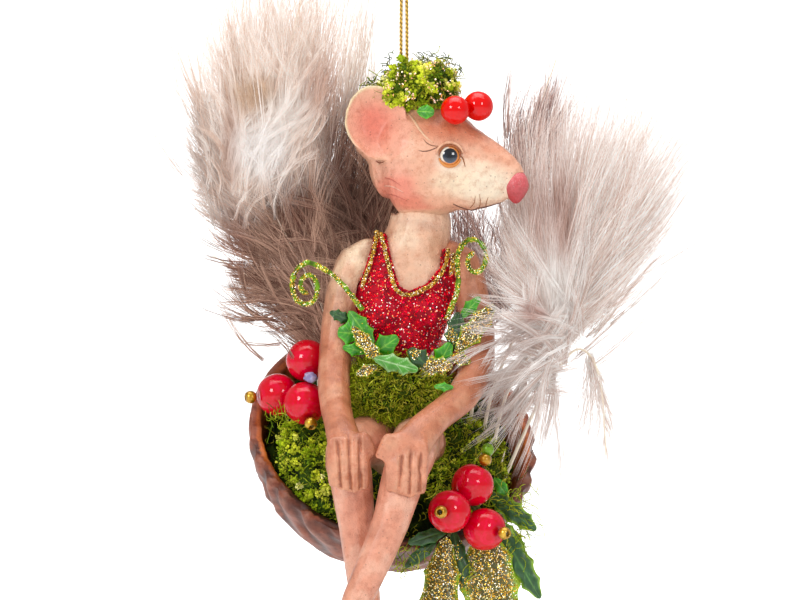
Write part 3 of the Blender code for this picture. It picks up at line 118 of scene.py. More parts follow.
def add(finish, kind, inputs=None, stops=None, feeds=(), **settings):
    """A shader node with its settings and links.

    An input is a value, a socket, or a node that gives its first output. Feeds are the surface
    shader's sockets that this node's own first output goes to.
    """
    tree = finish.node_tree
    node = tree.nodes.new("ShaderNode" + kind)
    for key, value in settings.items():
        setattr(node, key, value)
    for key, value in (inputs or {}).items():
        if isinstance(value, bpy.types.Node):
            value = value.outputs[0]
        if isinstance(value, bpy.types.NodeSocket):
            tree.links.new(value, node.inputs[key])
        else:
            node.inputs[key].default_value = value
    for index, (place, code) in enumerate(stops or ()):
        elements = node.color_ramp.elements
        element = elements[index] if index < 2 else elements.new(place)
        element.position = place
        element.color = (*colour(code), 1.0)
    for socket in feeds:
        tree.links.new(node.outputs[0], tree.nodes["Principled BSDF"].inputs[socket])
    return node


def start_finish(name, code, roughness, **values):
    """A material with one surface shader and its plain values."""
    finish = bpy.data.materials.new(name)
    finish.use_nodes = True
    inputs = finish.node_tree.nodes["Principled BSDF"].inputs
    inputs["Base Color"].default_value = (*colour(code), 1.0)
    inputs["Roughness"].default_value = roughness
    for key, value in values.items():
        inputs[key.replace("_", " ")].default_value = value
    print(f"{name}: base {code}, roughness {roughness}")
    return finish


def grained_paint(finish, grain, share, stops, feeds=("Base Color",)):
    """Paint of the vertices times a grain of noise. Gives back the place and the grain."""
    place = add(finish, "TexCoord").outputs["Object"]
    grain = add(finish, "TexNoise", {"Vector": place, **grain})
    ramp = add(finish, "ValToRGB", {"Fac": grain}, stops)
    dye = add(finish, "Attribute", attribute_name="paint")
    add(finish, "MixRGB", {"Fac": share, "Color1": dye, "Color2": ramp}, feeds=feeds,
        blend_type="MULTIPLY")
    return place, grain


print("clay red in linear light", [round(part, 3) for part in colour("C97B5A")])

# %% Selecting, finishing and counting
def select_only(obj):
    """Makes one object the only selected and active one."""
    bpy.ops.object.select_all(action="DESELECT")
    obj.select_set(True)
    bpy.context.view_layer.objects.active = obj


def start_shape(name, primitive, **size):
    """A new primitive as the start of a piece, with nothing else selected."""
    bpy.ops.object.select_all(action="DESELECT")
    primitive(**size)
    bpy.context.object.name = name
    return bpy.context.object


def edit(obj, operator, **settings):
    """Runs an operator on the whole mesh of one object, in edit mode."""
    select_only(obj)
    bpy.ops.object.mode_set(mode="EDIT")
    bpy.ops.mesh.select_all(action="SELECT")
    operator(**settings)
    bpy.ops.object.mode_set(mode="OBJECT")


def apply_modifier(obj, kind, **settings):
    """Adds a modifier with its settings to one object, and applies it."""
    select_only(obj)
    modifier = obj.modifiers.new(kind, kind)
    for key, value in settings.items():
        setattr(modifier, key, value)
    bpy.ops.object.modifier_apply(modifier=modifier.name)


def hand_over(obj, finish, replaces=(), body="figure", angle=None):
    """Gives a finished piece its material, its body and its place in the model."""
    obj.data.materials.clear()
    obj.data.materials.append(finish)
    select_only(obj)
    if angle is None:
        bpy.ops.object.shade_smooth()
    else:
        bpy.ops.object.shade_smooth_by_angle(angle=math.radians(angle))
    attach(obj, body)
    if any(replaces):
        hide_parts(*replaces)
    triangles = sum(len(face.vertices) - 2 for face in obj.data.polygons)
    print(f"{obj.name}: {triangles} triangles")
    return obj


def new_object(name, verts, faces):
    """An object from vertex and face lists."""
    mesh = bpy.data.meshes.new(name)
    mesh.from_pydata(np.asarray(verts).tolist(), [], np.asarray(faces).tolist())
    mesh.update()
    obj = bpy.data.objects.new(name, mesh)
    bpy.context.scene.collection.objects.link(obj)
    return obj


def paint(obj, tints, gloss=0.0):
    """Stores a colour for each vertex, with a share of gloss beside it."""
    count = len(obj.data.vertices)
    rgba = np.ones((count, 4))
    rgba[:, :3] = tints
    rgba[:, 3] = gloss
    layer = obj.data.color_attributes.new("paint", "FLOAT_COLOR", "POINT")
    layer.data.foreach_set("color", rgba.ravel())


def places_of(obj):
    """Vertex places and normals as arrays."""
    count = len(obj.data.vertices)
    places = np.empty(count * 3)
    normals = np.empty(count * 3)
    obj.data.vertices.foreach_get("co", places)
    obj.data.vertices.foreach_get("normal", normals)
    return places.reshape(-1, 3), normals.reshape(-1, 3)


def move_vertices(obj, places):
    """Writes new vertex places into a mesh."""
    obj.data.vertices.foreach_set("co", np.asarray(places, float).ravel())
    obj.data.update()


def tree_of(*objects):
    """One search tree over the surfaces of some objects."""
    verts = []
    faces = []
    for obj in objects:
        base = len(verts)
        verts.extend(vert.co.copy() for vert in obj.data.vertices)
        faces.extend([base + index for index in face.vertices] for face in obj.data.polygons)
    return BVHTree.FromPolygons(verts, faces)


def through(points, per_span):
    """Points on a smooth curve through the given ones."""
    spots = [np.array(point, float) for point in points]
    padded = [spots[0], *spots, spots[-1]]
    made = []
    for index in range(1, len(padded) - 2):
        a, b, c, d = padded[index - 1:index + 3]
        for step in range(per_span):
            t = step / per_span
            made.append(0.5 * (2 * b + (c - a) * t + (2 * a - 5 * b + 4 * c - d) * t * t
                               + (3 * b - a - 3 * c + d) * t ** 3))
    made.append(spots[-1])
    return np.array(made)


def unit(vectors):
    """The same ways, each with length one."""
    return vectors / (np.linalg.norm(vectors, axis=-1, keepdims=True) + 1e-12)


def mix(first, second, share):
    """Blends two colours, or arrays of them. One colour may be given as its hex value."""
    first, second = (colour(tone) if isinstance(tone, str) else tone for tone in (first, second))
    share = np.asarray(share)[..., None]
    return np.asarray(first) * (1 - share) + np.asarray(second) * share


def ease(low, high, value):
    """0 below low, 1 above high, and a soft rise between."""
    t = np.clip((np.asarray(value) - low) / (high - low), 0.0, 1.0)
    return t * t * (3 - 2 * t)


print("helpers ready")

# %% [markdown]
# ## Strands and copies
# Barbs, fibres and painted strokes are all thin tapering strands. There are many thousands of
# them, so they are made by array arithmetic and not by hand: each strand is a three-sided tube
# that ends in a point. Glitter grains and moss buds are one small shape each, modelled once by
# hand and copied with a new place, turn, size and colour.

# %% Strand and copy makers
def strands(name, lines, radii, tints, sides=3, flat=1.0):
    """Closed tapering tubes along lines of shape (count, stations, 3)."""
    lines = np.asarray(lines, float)
    count, stations, _ = lines.shape
    along = unit(np.gradient(lines, axis=1))
    side = unit(np.cross(along, (0.0, 1.0, 0.0)))
    depth = np.cross(side, along)
    radii = np.broadcast_to(np.asarray(radii, float), (count, stations))
    angles = 2 * np.pi * np.arange(sides) / sides + np.pi / 2
    rings = (lines[:, :, None, :]
             + radii[:, :, None, None] * np.cos(angles)[None, None, :, None] * side[:, :, None, :]
             + flat * radii[:, :, None, None] * np.sin(angles)[None, None, :, None]
             * depth[:, :, None, :])
    body = rings[:, :-1].reshape(count, -1, 3)
    verts = np.concatenate([body, lines[:, -1:], lines[:, :1]], axis=1)
    per = verts.shape[1]
    pattern = []
    for station in range(stations - 2):
        for index in range(sides):
            a = station * sides + index
            b = station * sides + (index + 1) % sides
            pattern += [(a, b, b + sides), (a, b + sides, a + sides)]
    last = (stations - 2) * sides
    for index in range(sides):
        after = (index + 1) % sides
        pattern.append((last + index, last + after, per - 2))
        pattern.append((after, index, per - 1))
    pattern = np.array(pattern)
    faces = (pattern[None] + (np.arange(count) * per)[:, None, None]).reshape(-1, 3)
    obj = new_object(name, verts.reshape(-1, 3), faces[:, ::-1])
    tints = np.broadcast_to(np.asarray(tints, float), (count, stations, 3))
    ring_tints = np.repeat(tints[:, :-1], sides, axis=1)
    paint(obj, np.concatenate([ring_tints, tints[:, -1:], tints[:, :1]], axis=1).reshape(-1, 3))
    return obj


def copies(name, shape, turns, spots, tints):
    """One object from many copies of a small shape, each with its own turn, place and colour."""
    verts = np.array([vert.co for vert in shape.data.vertices])
    faces = []
    for face in shape.data.polygons:
        corners = list(face.vertices)
        faces += [(corners[0], corners[k], corners[k + 1]) for k in range(1, len(corners) - 1)]
    faces = np.array(faces)
    count = len(spots)
    placed = np.einsum("vk,nkj->nvj", verts, np.asarray(turns)) + np.asarray(spots)[:, None, :]
    all_faces = (faces[None] + (np.arange(count) * len(verts))[:, None, None]).reshape(-1, 3)
    obj = new_object(name, placed.reshape(-1, 3), all_faces)
    paint(obj, np.repeat(np.asarray(tints), len(verts), axis=0))
    return obj


def scatter(obj, spacing, seed, keep=None, by_alpha=False):
    """Seeded random places on a surface, about a spacing apart, with their normals.

    With by_alpha they are as dense as the alpha of the paint asks.
    """
    rng = np.random.default_rng(seed)
    obj.data.calc_loop_triangles()
    corners = np.array([tri.vertices[:] for tri in obj.data.loop_triangles])
    places = places_of(obj)[0]
    a, b, c = places[corners[:, 0]], places[corners[:, 1]], places[corners[:, 2]]
    cross = np.cross(b - a, c - a)
    area = np.linalg.norm(cross, axis=1) / 2
    weight = area
    if by_alpha:
        rgba = np.empty(len(places) * 4)
        obj.data.color_attributes["paint"].data.foreach_get("color", rgba)
        weight = area * rgba[3::4][corners].mean(axis=1)
    count = int(weight.sum() / spacing ** 2)
    pick = rng.choice(len(area), size=count, p=weight / weight.sum())
    u, v = rng.random((2, count))
    fold = u + v > 1
    u[fold], v[fold] = 1 - u[fold], 1 - v[fold]
    spots = a[pick] + (b - a)[pick] * u[:, None] + (c - a)[pick] * v[:, None]
    normals = cross[pick] / (2 * area[pick][:, None] + 1e-15)
    if keep is not None:
        chosen = keep(spots, normals)
        spots, normals = spots[chosen], normals[chosen]
    return spots, normals


def frames_on(normals, rng, tilt):
    """A random turn for each normal, tilted a little away from it."""
    normals = unit(normals + rng.normal(0, tilt, normals.shape))
    first = unit(np.cross(normals, rng.normal(0, 1, normals.shape)))
    return np.stack([first, np.cross(normals, first), normals], axis=1)


def palette(codes, weights, count, rng):
    """Random picks from a list of colours."""
    tints = np.array([colour(code) for code in codes])
    share = np.array(weights, float)
    return tints[rng.choice(len(codes), size=count, p=share / share.sum())]


print("strand and copy makers ready")

# %% [markdown]
# ## Floor, backdrop and light
# The ornament was photographed against white paper between soft boxes. A pale sheet that curves
# from the floor up far behind gives no horizon, and leaves room to look from the back as well. Two
# soft lamps stand left and right of the camera and a third hangs above, so that lacquer shows
# small bright highlights. One more lamp behind the ornament lights only the far paper.

# %% Paper and lamps
paper = start_finish("matt_background_paper", "FFFFFF", 0.95)
paper_grain = add(paper, "TexNoise", {"Scale": 400.0, "Detail": 3.0})
add(paper, "Bump", {"Height": paper_grain, "Strength": 0.05, "Distance": 0.0002},
    feeds=["Normal"])

FLOOR_Z = -0.215
backdrop = start_shape("paper_backdrop", bpy.ops.mesh.primitive_plane_add, size=1.0)
backdrop.data.transform(Matrix.Diagonal((9.0, 7.6, 1.0, 1.0)))
backdrop.data.transform(Matrix.Translation((0, 1.0, FLOOR_Z)))
bpy.ops.object.mode_set(mode="EDIT")
bm = bmesh.from_edit_mesh(backdrop.data)
bend = [(0.16, 0.02), (0.14, 0.07), (0.10, 0.12), (0.05, 0.16), (0.0, 2.2)]
for forward, rise in bend:
    far = max(vert.co.y for vert in bm.verts)
    top = max(vert.co.z for vert in bm.verts)
    for edge in bm.edges:
        edge.select_set(all(abs(vert.co.z - top) < 1e-5 and vert.co.y > far - 1e-4
                            for vert in edge.verts))
    bmesh.update_edit_mesh(backdrop.data)
    bpy.ops.mesh.extrude_edges_move(TRANSFORM_OT_translate={"value": (0, forward, rise)})
    bm = bmesh.from_edit_mesh(backdrop.data)
bpy.ops.object.mode_set(mode="OBJECT")
bpy.ops.object.shade_smooth()
backdrop.data.materials.append(paper)


def soft_box(name, place, size, power, target=VIEW_CENTRE):
    """A square soft lamp that looks at the ornament."""
    lamp = bpy.data.lights.new(name, "AREA")
    lamp.size = size
    lamp.energy = power
    obj = bpy.data.objects.new(name, lamp)
    bpy.context.scene.collection.objects.link(obj)
    obj.location = place
    obj.rotation_euler = (target - Vector(place)).to_track_quat("-Z", "Y").to_euler()


soft_box("soft_box_left", (-0.85, -1.15, 0.55), 0.44, 8.4)
soft_box("soft_box_right", (0.75, -1.20, 0.40), 0.34, 4.0)
soft_box("soft_box_top", (0.0, 0.05, 1.1), 0.8, 4.0)
soft_box("paper_lamp", (0.0, 0.2, 0.95), 1.2, 9.0, Vector((0, 0.95, -0.1)))
soft_box("far_paper_lamp", (0.0, 2.6, 1.5), 1.4, 75.0, Vector((0, 4.2, -0.2)))
world = bpy.data.worlds.new("white_room")
world.use_nodes = True
room = world.node_tree.nodes["Background"].inputs
room["Color"].default_value = (1.0, 1.0, 1.0, 1.0)
room["Strength"].default_value = 0.44
bpy.context.scene.world = world
bpy.context.scene.view_settings.view_transform = "Standard"

# %% [markdown]
# ## Hanging cord
# The cord is two plies of gold foil yarn twisted together. The grooves between them are painted
# dark as painted shade, and pale stripes on the plies are painted glints. It is 0.8 mm thick,
# which is under four pixels, so the twist is drawn one and a half times as long as the real one's
# to stay readable. The tube's radius rises and falls as it turns, and the paint follows the same
# turns.

# %% Twisted cord
CORD_RADIUS = 0.4 * MM
CORD_TWIST = 1.9 * MM
TURN_RINGS = 12  # rings of vertices in one turn of the plies
half_route = [(-0.65, 0.0, -31.3), (-0.65, 0.0, -23.15), (-0.65, 0.0, -15.0),
              (-1.3375, 0.0, -12.9), (-2.7125, 0.0, -9.3), (-3.4, 0.0, -4.8), (-2.63, 0.0, -1.35)]
cord_route = through(half_route + [(0.0, 0.0, 0.4)]
                     + [(-x, y, z) for x, y, z in reversed(half_route)], 3) * MM


def spaced(points, step):
    """The same line with points an even step apart."""
    points = np.asarray(points, float)
    gaps = np.linalg.norm(np.diff(points, axis=0), axis=1)
    reach = np.concatenate([[0.0], np.cumsum(gaps)])
    wanted = np.linspace(0.0, reach[-1], max(2, int(reach[-1] / step)))
    return np.stack([np.interp(wanted, reach, points[:, axis]) for axis in range(3)], axis=1)


def twisted(name, route, radius, twist, plies=2, sides=14, facing=(0, 1, 0)):
    """A twisted cord along a route: gold plies with pale painted glints, painted shade in the
    grooves.
    """
    line = spaced(route, twist / TURN_RINGS)
    along = unit(np.gradient(line, axis=0))
    side = unit(np.cross(along, facing))
    depth = np.cross(side, along)
    verts, tints = [], []
    gold, pale, dark = (np.array(colour(code)) for code in ("C98F26", "F6D873", "3A1C08"))
    for index, centre in enumerate(line):
        turn = 2 * math.pi * index / TURN_RINGS
        for step in range(sides):
            angle = 2 * math.pi * step / sides
            ridge = abs(math.cos(0.5 * plies * (angle - turn)))
            reach = radius * (0.72 + 0.28 * ridge)
            verts.append(centre + reach * (math.cos(angle) * side[index]
                                           + math.sin(angle) * depth[index]))
            # pale stripes on the plies are painted glints, and the dark in the grooves is painted
            # shade
            foil = 0.5 + 0.5 * math.sin(7 * angle + 3 * turn)
            tints.append(mix(dark, mix(gold, pale, foil), ease(0.25, 0.62, ridge)))
    faces = []
    for ring in range(len(line) - 1):
        for step in range(sides):
            a, b = ring * sides + step, ring * sides + (step + 1) % sides
            faces += [(a, b, b + sides), (a, b + sides, a + sides)]
    ends = ((line[0], 0), (line[-1], (len(line) - 1) * sides))
    for number, (tip, start) in enumerate(ends):
        verts.append(tip)
        tints.append(dark)
        for step in range(sides):
            pair = (start + (step + 1) % sides, start + step)
            faces.append((*(pair if number == 0 else reversed(pair)), len(verts) - 1))
    obj = new_object(name, verts, np.array(faces)[:, ::-1])
    paint(obj, np.array(tints))
    return obj


foil_yarn = start_finish("gold_foil_yarn", "C98F26", 0.34, Metallic=0.75)
add(foil_yarn, "Attribute", feeds=["Base Color"], attribute_name="paint")
yarn_noise = add(foil_yarn, "TexNoise", {"Scale": 6000.0, "Detail": 2.0})
add(foil_yarn, "Bump", {"Height": yarn_noise, "Strength": 0.4, "Distance": 0.00005},
    feeds=["Normal"])

cord = twisted("twisted_cord", cord_route, CORD_RADIUS, CORD_TWIST)
hand_over(cord, foil_yarn, ["hanging_cord"], "cord")

# %% [markdown]
# The cord's tied end is wound into a small barrel knot, whose last loop goes through the screw
# eye. It is the same yarn, so it is made by the same function along a winding route.

# %% Knot
turns = np.linspace(0, 1, 60)
winding = np.stack([0.95 * np.cos(2 * np.pi * 3.5 * turns), 0.95 * np.sin(2 * np.pi * 3.5 * turns),
                    -31.45 - 3.05 * turns], axis=1)
bight = np.array([(-0.95, 0.0, -34.4), (-1.3, 0.0, -35.4), (-1.1, 0.0, -36.4), (0.0, 0.0, -36.9),
                  (1.1, 0.0, -36.4), (1.3, 0.0, -35.4), (0.9, 0.0, -34.0), (0.2, 0.0, -33.0)])
knot = twisted("knot_winding", through(np.concatenate([winding[::4], bight]), 4) * MM,
               0.38 * MM, 1.4 * MM, sides=10, facing=(0.15, 0.3, 1.0))
hand_over(knot, foil_yarn, ["cord_knot"], "knot")

# %% [markdown]
# ## Painted resin castings
# Head, neck, arms and legs are castings of cold-cast resin. The solids are faceted, so each
# casting starts from a merged copy of its solid, is remeshed into small even cells and smoothed.
# Paint is stored for each vertex, because a painter works by place: a blush here, a pale muzzle
# there. The shader adds what is too fine for vertices: sprayed specks and the grain of the resin.

# %% Cast copies
def cast_copy(node, name, cell, rounds, fill=0.0, swells=()):
    """A fine, smooth, closed copy of a solid, merged before it is remeshed.

    Swells are balls, given as a centre and three radii in millimetres, that melt into it.
    A fill swells the copy before the remesh and shrinks it after, so that clefts narrower than
    twice the fill close into shallow grooves, as paint does between fingers.
    """
    obj = bpy.data.objects.new(name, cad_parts[node].data.copy())
    bpy.context.scene.collection.objects.link(obj)
    for centre, radii in swells:
        swell = start_shape("swell", bpy.ops.mesh.primitive_uv_sphere_add, segments=32,
                            ring_count=20, radius=MM)
        move_vertices(swell, places_of(swell)[0] * radii + np.array(centre) * MM)
        obj.select_set(True)
        bpy.context.view_layer.objects.active = obj
        bpy.ops.object.join()
    select_only(obj)
    bpy.ops.object.mode_set(mode="EDIT")
    bpy.ops.mesh.select_all(action="SELECT")
    bpy.ops.mesh.remove_doubles(threshold=0.01 * MM)
    if fill:
        bpy.ops.transform.shrink_fatten(value=fill)
    bpy.ops.object.mode_set(mode="OBJECT")
    apply_modifier(obj, "REMESH", mode="VOXEL", voxel_size=cell)
    apply_modifier(obj, "SMOOTH", factor=0.5, iterations=rounds)
    if fill:
        places, normals = places_of(obj)
        move_vertices(obj, places - normals * fill)
    while obj.data.color_attributes:
        obj.data.color_attributes.remove(obj.data.color_attributes[0])
    return obj


def ripple(places, size, seed=0.0, depth=2):
    """Smooth noise from -1 to 1 at each place, with features of about a size."""
    shift = Vector((seed, -seed, 2.0 * seed))
    return np.array([noise.fractal(Vector(spot) / size + shift, 1.0, 2.0, depth,
                                   noise_basis="PERLIN_ORIGINAL") for spot in places])


head = cast_copy("head", "head_casting", 0.3 * MM, 6)
torso = cast_copy("torso", "torso_casting", 0.4 * MM, 6)
SHOULDERS = {
    "left": [((-9.6, 0.3, -75.5), (3.4, 4.3, 4.8)), ((-8.0, 0.6, -73.2), (3.2, 3.8, 3.2))],
    "right": [((11.4, 0.9, -75.5), (3.2, 4.0, 4.4)), ((10.2, 1.0, -73.4), (2.8, 3.6, 3.0))]}
arms = [cast_copy("arm_" + side, f"arm_{side}_casting", 0.3 * MM, 4, 0.9 * MM, swells)
        for side, swells in SHOULDERS.items()]
legs = [cast_copy("leg_" + side, f"leg_{side}_casting", 0.35 * MM, 4) for side in ("left", "right")]
print("head cells", len(head.data.polygons))

# %% [markdown]
# The paint coat is a satin acrylic under a thin varnish. The painted blushes come from the
# vertex paint. Dark specks were flicked on with a stiff brush: most are a third of a millimetre
# across, and a few are half a millimetre. Carved fur strokes 0.7 mm apart are a shallow bump.

# %% Resin finish
resin = start_finish("cold_cast_resin_satin_paint", "D9936F", 0.42, IOR=1.5, Coat_Weight=0.3,
                     Coat_Roughness=0.28)
place = add(resin, "TexCoord").outputs["Object"]
coat_paint = add(resin, "Attribute", attribute_name="paint")
mottle = add(resin, "TexNoise", {"Vector": place, "Scale": 620.0, "Detail": 8.0,
                                 "Roughness": 0.8})
mottle_ramp = add(resin, "ValToRGB", {"Fac": mottle},
                  [(0.34, "DDB9A4"), (0.52, "FFFFFF"), (0.72, "FFF6EA")])
washed = add(resin, "MixRGB", {"Fac": 0.75, "Color1": coat_paint, "Color2": mottle_ramp},
             blend_type="MULTIPLY")
fleck_cells = add(resin, "TexVoronoi", {"Vector": place, "Scale": 1100.0})
fleck_pick = add(resin, "SeparateColor", {"Color": fleck_cells.outputs["Color"]})
fleck_rare = add(resin, "Math", {0: fleck_pick, 1: 0.80}, operation="GREATER_THAN")
fleck_near = add(resin, "Math", {0: fleck_cells, 1: 0.17}, operation="LESS_THAN")
flecks = add(resin, "Math", {0: fleck_rare, 1: fleck_near}, operation="MULTIPLY")
fleck_share = add(resin, "Math", {0: flecks, 1: 0.5}, operation="MULTIPLY")
flecked = add(resin, "MixRGB", {"Fac": fleck_share, "Color1": washed,
                                "Color2": (*colour("6B3A28"), 1.0)})
spot_cells = add(resin, "TexVoronoi", {"Vector": place, "Scale": 210.0})
spot_pick = add(resin, "SeparateColor", {"Color": spot_cells.outputs["Color"]})
spot_rare = add(resin, "Math", {0: spot_pick.outputs["Green"], 1: 0.62},
                operation="GREATER_THAN")
spot_size = add(resin, "Math", {0: spot_pick.outputs["Blue"], 1: 0.055}, operation="MULTIPLY")
spot_near = add(resin, "Math", {0: spot_cells, 1: spot_size}, operation="LESS_THAN")
spots = add(resin, "Math", {0: spot_rare, 1: spot_near}, operation="MULTIPLY")
add(resin, "MixRGB", {"Fac": spots, "Color1": flecked, "Color2": (*colour("5A2A1C"), 1.0)},
    feeds=["Base Color"])
add(resin, "MapRange", {"Value": coat_paint.outputs["Alpha"], "To Min": 0.46, "To Max": 0.14},
    feeds=["Roughness"])
strokes = add(resin, "Mapping", {"Vector": place, "Scale": (900.0, 900.0, 260.0)})
carved = add(resin, "TexNoise", {"Vector": strokes, "Scale": 1.6, "Detail": 3.0,
                                 "Distortion": 0.6})
carve_bump = add(resin, "Bump", {"Height": carved, "Strength": 0.45, "Distance": 0.00022})
grit = add(resin, "TexNoise", {"Vector": place, "Scale": 3000.0, "Detail": 2.0})
add(resin, "Bump", {"Height": grit, "Strength": 0.8, "Distance": 0.00025,
                    "Normal": carve_bump}, feeds=["Normal"])
print("resin nodes", len(resin.node_tree.nodes))

# %% [markdown]
# ### Head
# The head turns 20 degrees to the viewer's right. Its two sides are painted alike, so a place on
# the far side is mirrored through the middle of the head before the painter's blobs are looked
# up. The snout's top, underside and width are fitted to marks along its length, and the
# egg-shaped nose is a glossy piece of its own in front of it.

# %% Head frame and shape
HEAD_TURN = math.radians(20.0)
CROWN_Z = -39.8 * MM
HEAD_MIDDLE = np.array([2.6 * MM, 0.5 * MM, CROWN_Z - 13.0 * MM])
FORWARD = np.array([math.cos(HEAD_TURN), -math.sin(HEAD_TURN), 0.0])
NEAR = np.array([-math.sin(HEAD_TURN), -math.cos(HEAD_TURN), 0.0])
NOSE_X, NOSE_Z = picture(515.5, 187)
NOSE = HEAD_MIDDLE + FORWARD * ((NOSE_X - HEAD_MIDDLE[0]) / FORWARD[0])
NOSE[2] = NOSE_Z
NOSE_SIZE = np.array([2.9, 2.6, 3.75]) * MM


def head_axes(places):
    """Reach forward, reach to the near side and height of places in the head."""
    offset = np.asarray(places) - HEAD_MIDDLE
    return offset @ FORWARD, offset @ NEAR, np.asarray(places)[..., 2]


def mirrored(places):
    """The same places with those of the far side put on the near side."""
    side = (np.asarray(places) - HEAD_MIDDLE) @ NEAR
    return np.asarray(places) - 2 * np.minimum(side, 0.0)[..., None] * NEAR


def outline_of(values, reach, stations, width, pick):
    """The greatest or least of some values near each station along the head."""
    return np.array([pick(values[np.abs(reach - station) < width]) for station in stations])


head_places, _ = places_of(head)
forward, near, height = head_axes(head_places)
stations = np.linspace(8.0 * MM, forward.max() - 0.4 * MM, 26)
top_now = outline_of(height, forward, stations, 0.5 * MM, np.max)
low_now = outline_of(height, forward, stations, 0.5 * MM, np.min)
half_now = outline_of(np.abs(near), forward, stations, 0.5 * MM, np.max)
top_marks = np.array([(455, 118), (470, 124), (490, 137), (506, 149), (514, 156), (519, 163),
                      (522, 171)], float)
low_marks = np.array([(440, 214), (458, 213), (474, 210), (488, 207), (502, 203), (510, 199),
                      (516, 190), (522, 174)], float)
half_marks = np.array([(455, 8.2), (470, 6.9), (485, 5.6), (497, 4.5), (506, 3.4), (514, 2.6),
                       (522, 1.2)], float)
SNOUT_PX, SNOUT_REACH = 490, 32.0  # the column where its front part begins, and that one's length
station_px = (HEAD_MIDDLE[0] + FORWARD[0] * stations) / PIXEL + CORD_PX
stretch = SNOUT_REACH / (station_px[-1] - SNOUT_PX)
station_px = np.where(station_px > SNOUT_PX, SNOUT_PX + (station_px - SNOUT_PX) * stretch,
                      station_px)
top_goal = picture(0, np.interp(station_px, *top_marks.T))[1]
low_goal = picture(0, np.interp(station_px, *low_marks.T))[1]
half_goal = np.interp(station_px, *half_marks.T) * MM
top_a, low_a, half_a = (np.interp(forward, stations, row) for row in (top_now, low_now, half_now))
top_b, low_b, half_b = (np.interp(forward, stations, row)
                        for row in (top_goal, low_goal, half_goal))
share = (height - low_a) / np.maximum(top_a - low_a, 0.2 * MM)
new_height = low_b + share * (top_b - low_b)
new_near = near * half_b / np.maximum(half_a, 0.2 * MM)
start = (picture(SNOUT_PX, 0)[0] - HEAD_MIDDLE[0]) / FORWARD[0]
new_forward = np.where(forward > start, start + (forward - start) * stretch, forward)
refit = ease(9.5 * MM, 14.0 * MM, forward)[:, None]
goal = (HEAD_MIDDLE + new_forward[:, None] * FORWARD + new_near[:, None] * NEAR)
goal[:, 2] = new_height
head_places = head_places * (1 - refit) + goal * refit
low_back = ease(-49.0 * MM, -54.0 * MM, head_places[:, 2]) * ease(1.0 * MM, -3.0 * MM, forward)
head_places -= (0.31 * low_back * np.minimum(forward, 0.0))[:, None] * FORWARD
move_vertices(head, head_places)
apply_modifier(head, "SMOOTH", iterations=3)
head_places, _ = places_of(head)
print("nose at", [round(float(value) * 1000, 1) for value in NOSE])

# %% Head paint
def blobs(px, py, tone, marks, core=0.35):
    """Soft marks over a tone. A mark is (px, py, reach in x and y, colour, strength)."""
    for mark_x, mark_y, reach_x, reach_y, code, strength in marks:
        away = np.sqrt(((px - mark_x) / reach_x) ** 2 + ((py - mark_y) / reach_y) ** 2)
        tone = mix(tone, code, strength * (1 - ease(core, 1.0, away)))
    return tone


seen = mirrored(head_places)
px, py = pixel_of(seen)
base = np.broadcast_to(colour("E5AC8E"), (len(px), 3))
head_marks = [
    (446, 126, 46, 22, "D07A55", 0.9),     # terracotta forehead
    (474, 137, 24, 13, "D4845F", 0.85),    # and the bridge, down to the nose
    (494, 148, 18, 10, "D68C68", 0.75),
    (508, 159, 12, 9, "D89472", 0.6),
    (484, 186, 46, 28, "EEDDC4", 0.95),    # cream muzzle
    (470, 168, 30, 14, "EFD6BC", 0.7),
    (452, 182, 30, 20, "EFD9BB", 0.8),
    (396, 188, 28, 24, "E8806C", 0.75),    # cheek blush
    (416, 203, 34, 12, "E3806A", 0.75),
    (392, 168, 26, 16, "EBAA92", 0.6),
    (436, 198, 20, 14, "EDBE9F", 0.6),
    (425, 217, 70, 9, "DDB292", 0.95),     # under the jaw
    # painted shade under the chin
    (462, 222, 34, 9, "B08A70", 0.5),
    (449, 162, 19, 16, "F2E0CA", 0.8),     # pale ring round the eye
]
tints = blobs(px, py, base, head_marks)
EAR_REACH, EAR_HEIGHT, EAR_FOOT = 7.7 * MM, 8.3 * MM, -4.6 * MM
ear_centre = HEAD_MIDDLE + FORWARD * (0.13 - 0.3) * 37 * MM + NEAR * 10.5 * MM
ear_centre[2] = CROWN_Z - 0.19 * 26 * MM
ear_facing = unit(NEAR * 0.85 + FORWARD * 0.30)
ear_side = unit(np.cross([0.0, 0.0, 1.0], ear_facing))
from_ear = seen - ear_centre
out = from_ear @ ear_facing
from_middle = (seen - HEAD_MIDDLE) @ NEAR
ring = np.hypot(from_ear @ ear_side / EAR_REACH, from_ear[:, 2] / EAR_HEIGHT)
in_ear = (out > EAR_FOOT) & (ring < 1.12) & (np.abs(from_middle) > 5.0 * MM)
pink = mix("EBA68C", "E27C66", ease(0.95, 0.1, ring))
pink = mix(pink, "E6AE90", 0.7 * ease(0.3, 0.9, from_ear[:, 2] / EAR_HEIGHT))
# a cream rim on the ear, strongest at its upper left
pale_rim_upper_left = (1 - ease(378, 398, px)) * (1 - 0.7 * ease(132, 150, py))
pink = mix(pink, "EBD7AE", ease(0.86, 0.97, ring) * np.clip(pale_rim_upper_left, 0, 1))
tints = np.where(in_ear[:, None], pink, tints)
jitter = ripple(head_places, 1.6 * MM, 3.0)
tints = tints * (1 + 0.10 * jitter[:, None])
paint(head, np.clip(tints, 0, 1), 0.15)
# the ear is drawn in at its back and lower edge, on both sides alike
across = from_ear @ ear_side
draw_in = (-0.2 * np.minimum(across, 0.0)
           + 0.9 * MM * ease(0.0, -6.0 * MM, from_ear[:, 2]) * ease(0.0, -5.0 * MM, across))
draw_in *= (out > EAR_FOOT) * ease(1.5, 1.2, ring) * ease(5.0 * MM, 8.0 * MM, from_middle)
far_ear_side = ear_side - 2 * (ear_side @ NEAR) * NEAR
on_near = ((head_places - HEAD_MIDDLE) @ NEAR > 0)[:, None]
move_vertices(head, head_places + draw_in[:, None] * np.where(on_near, ear_side, far_ear_side))
hand_over(head, resin, ["head"])
head_tree = tree_of(head)

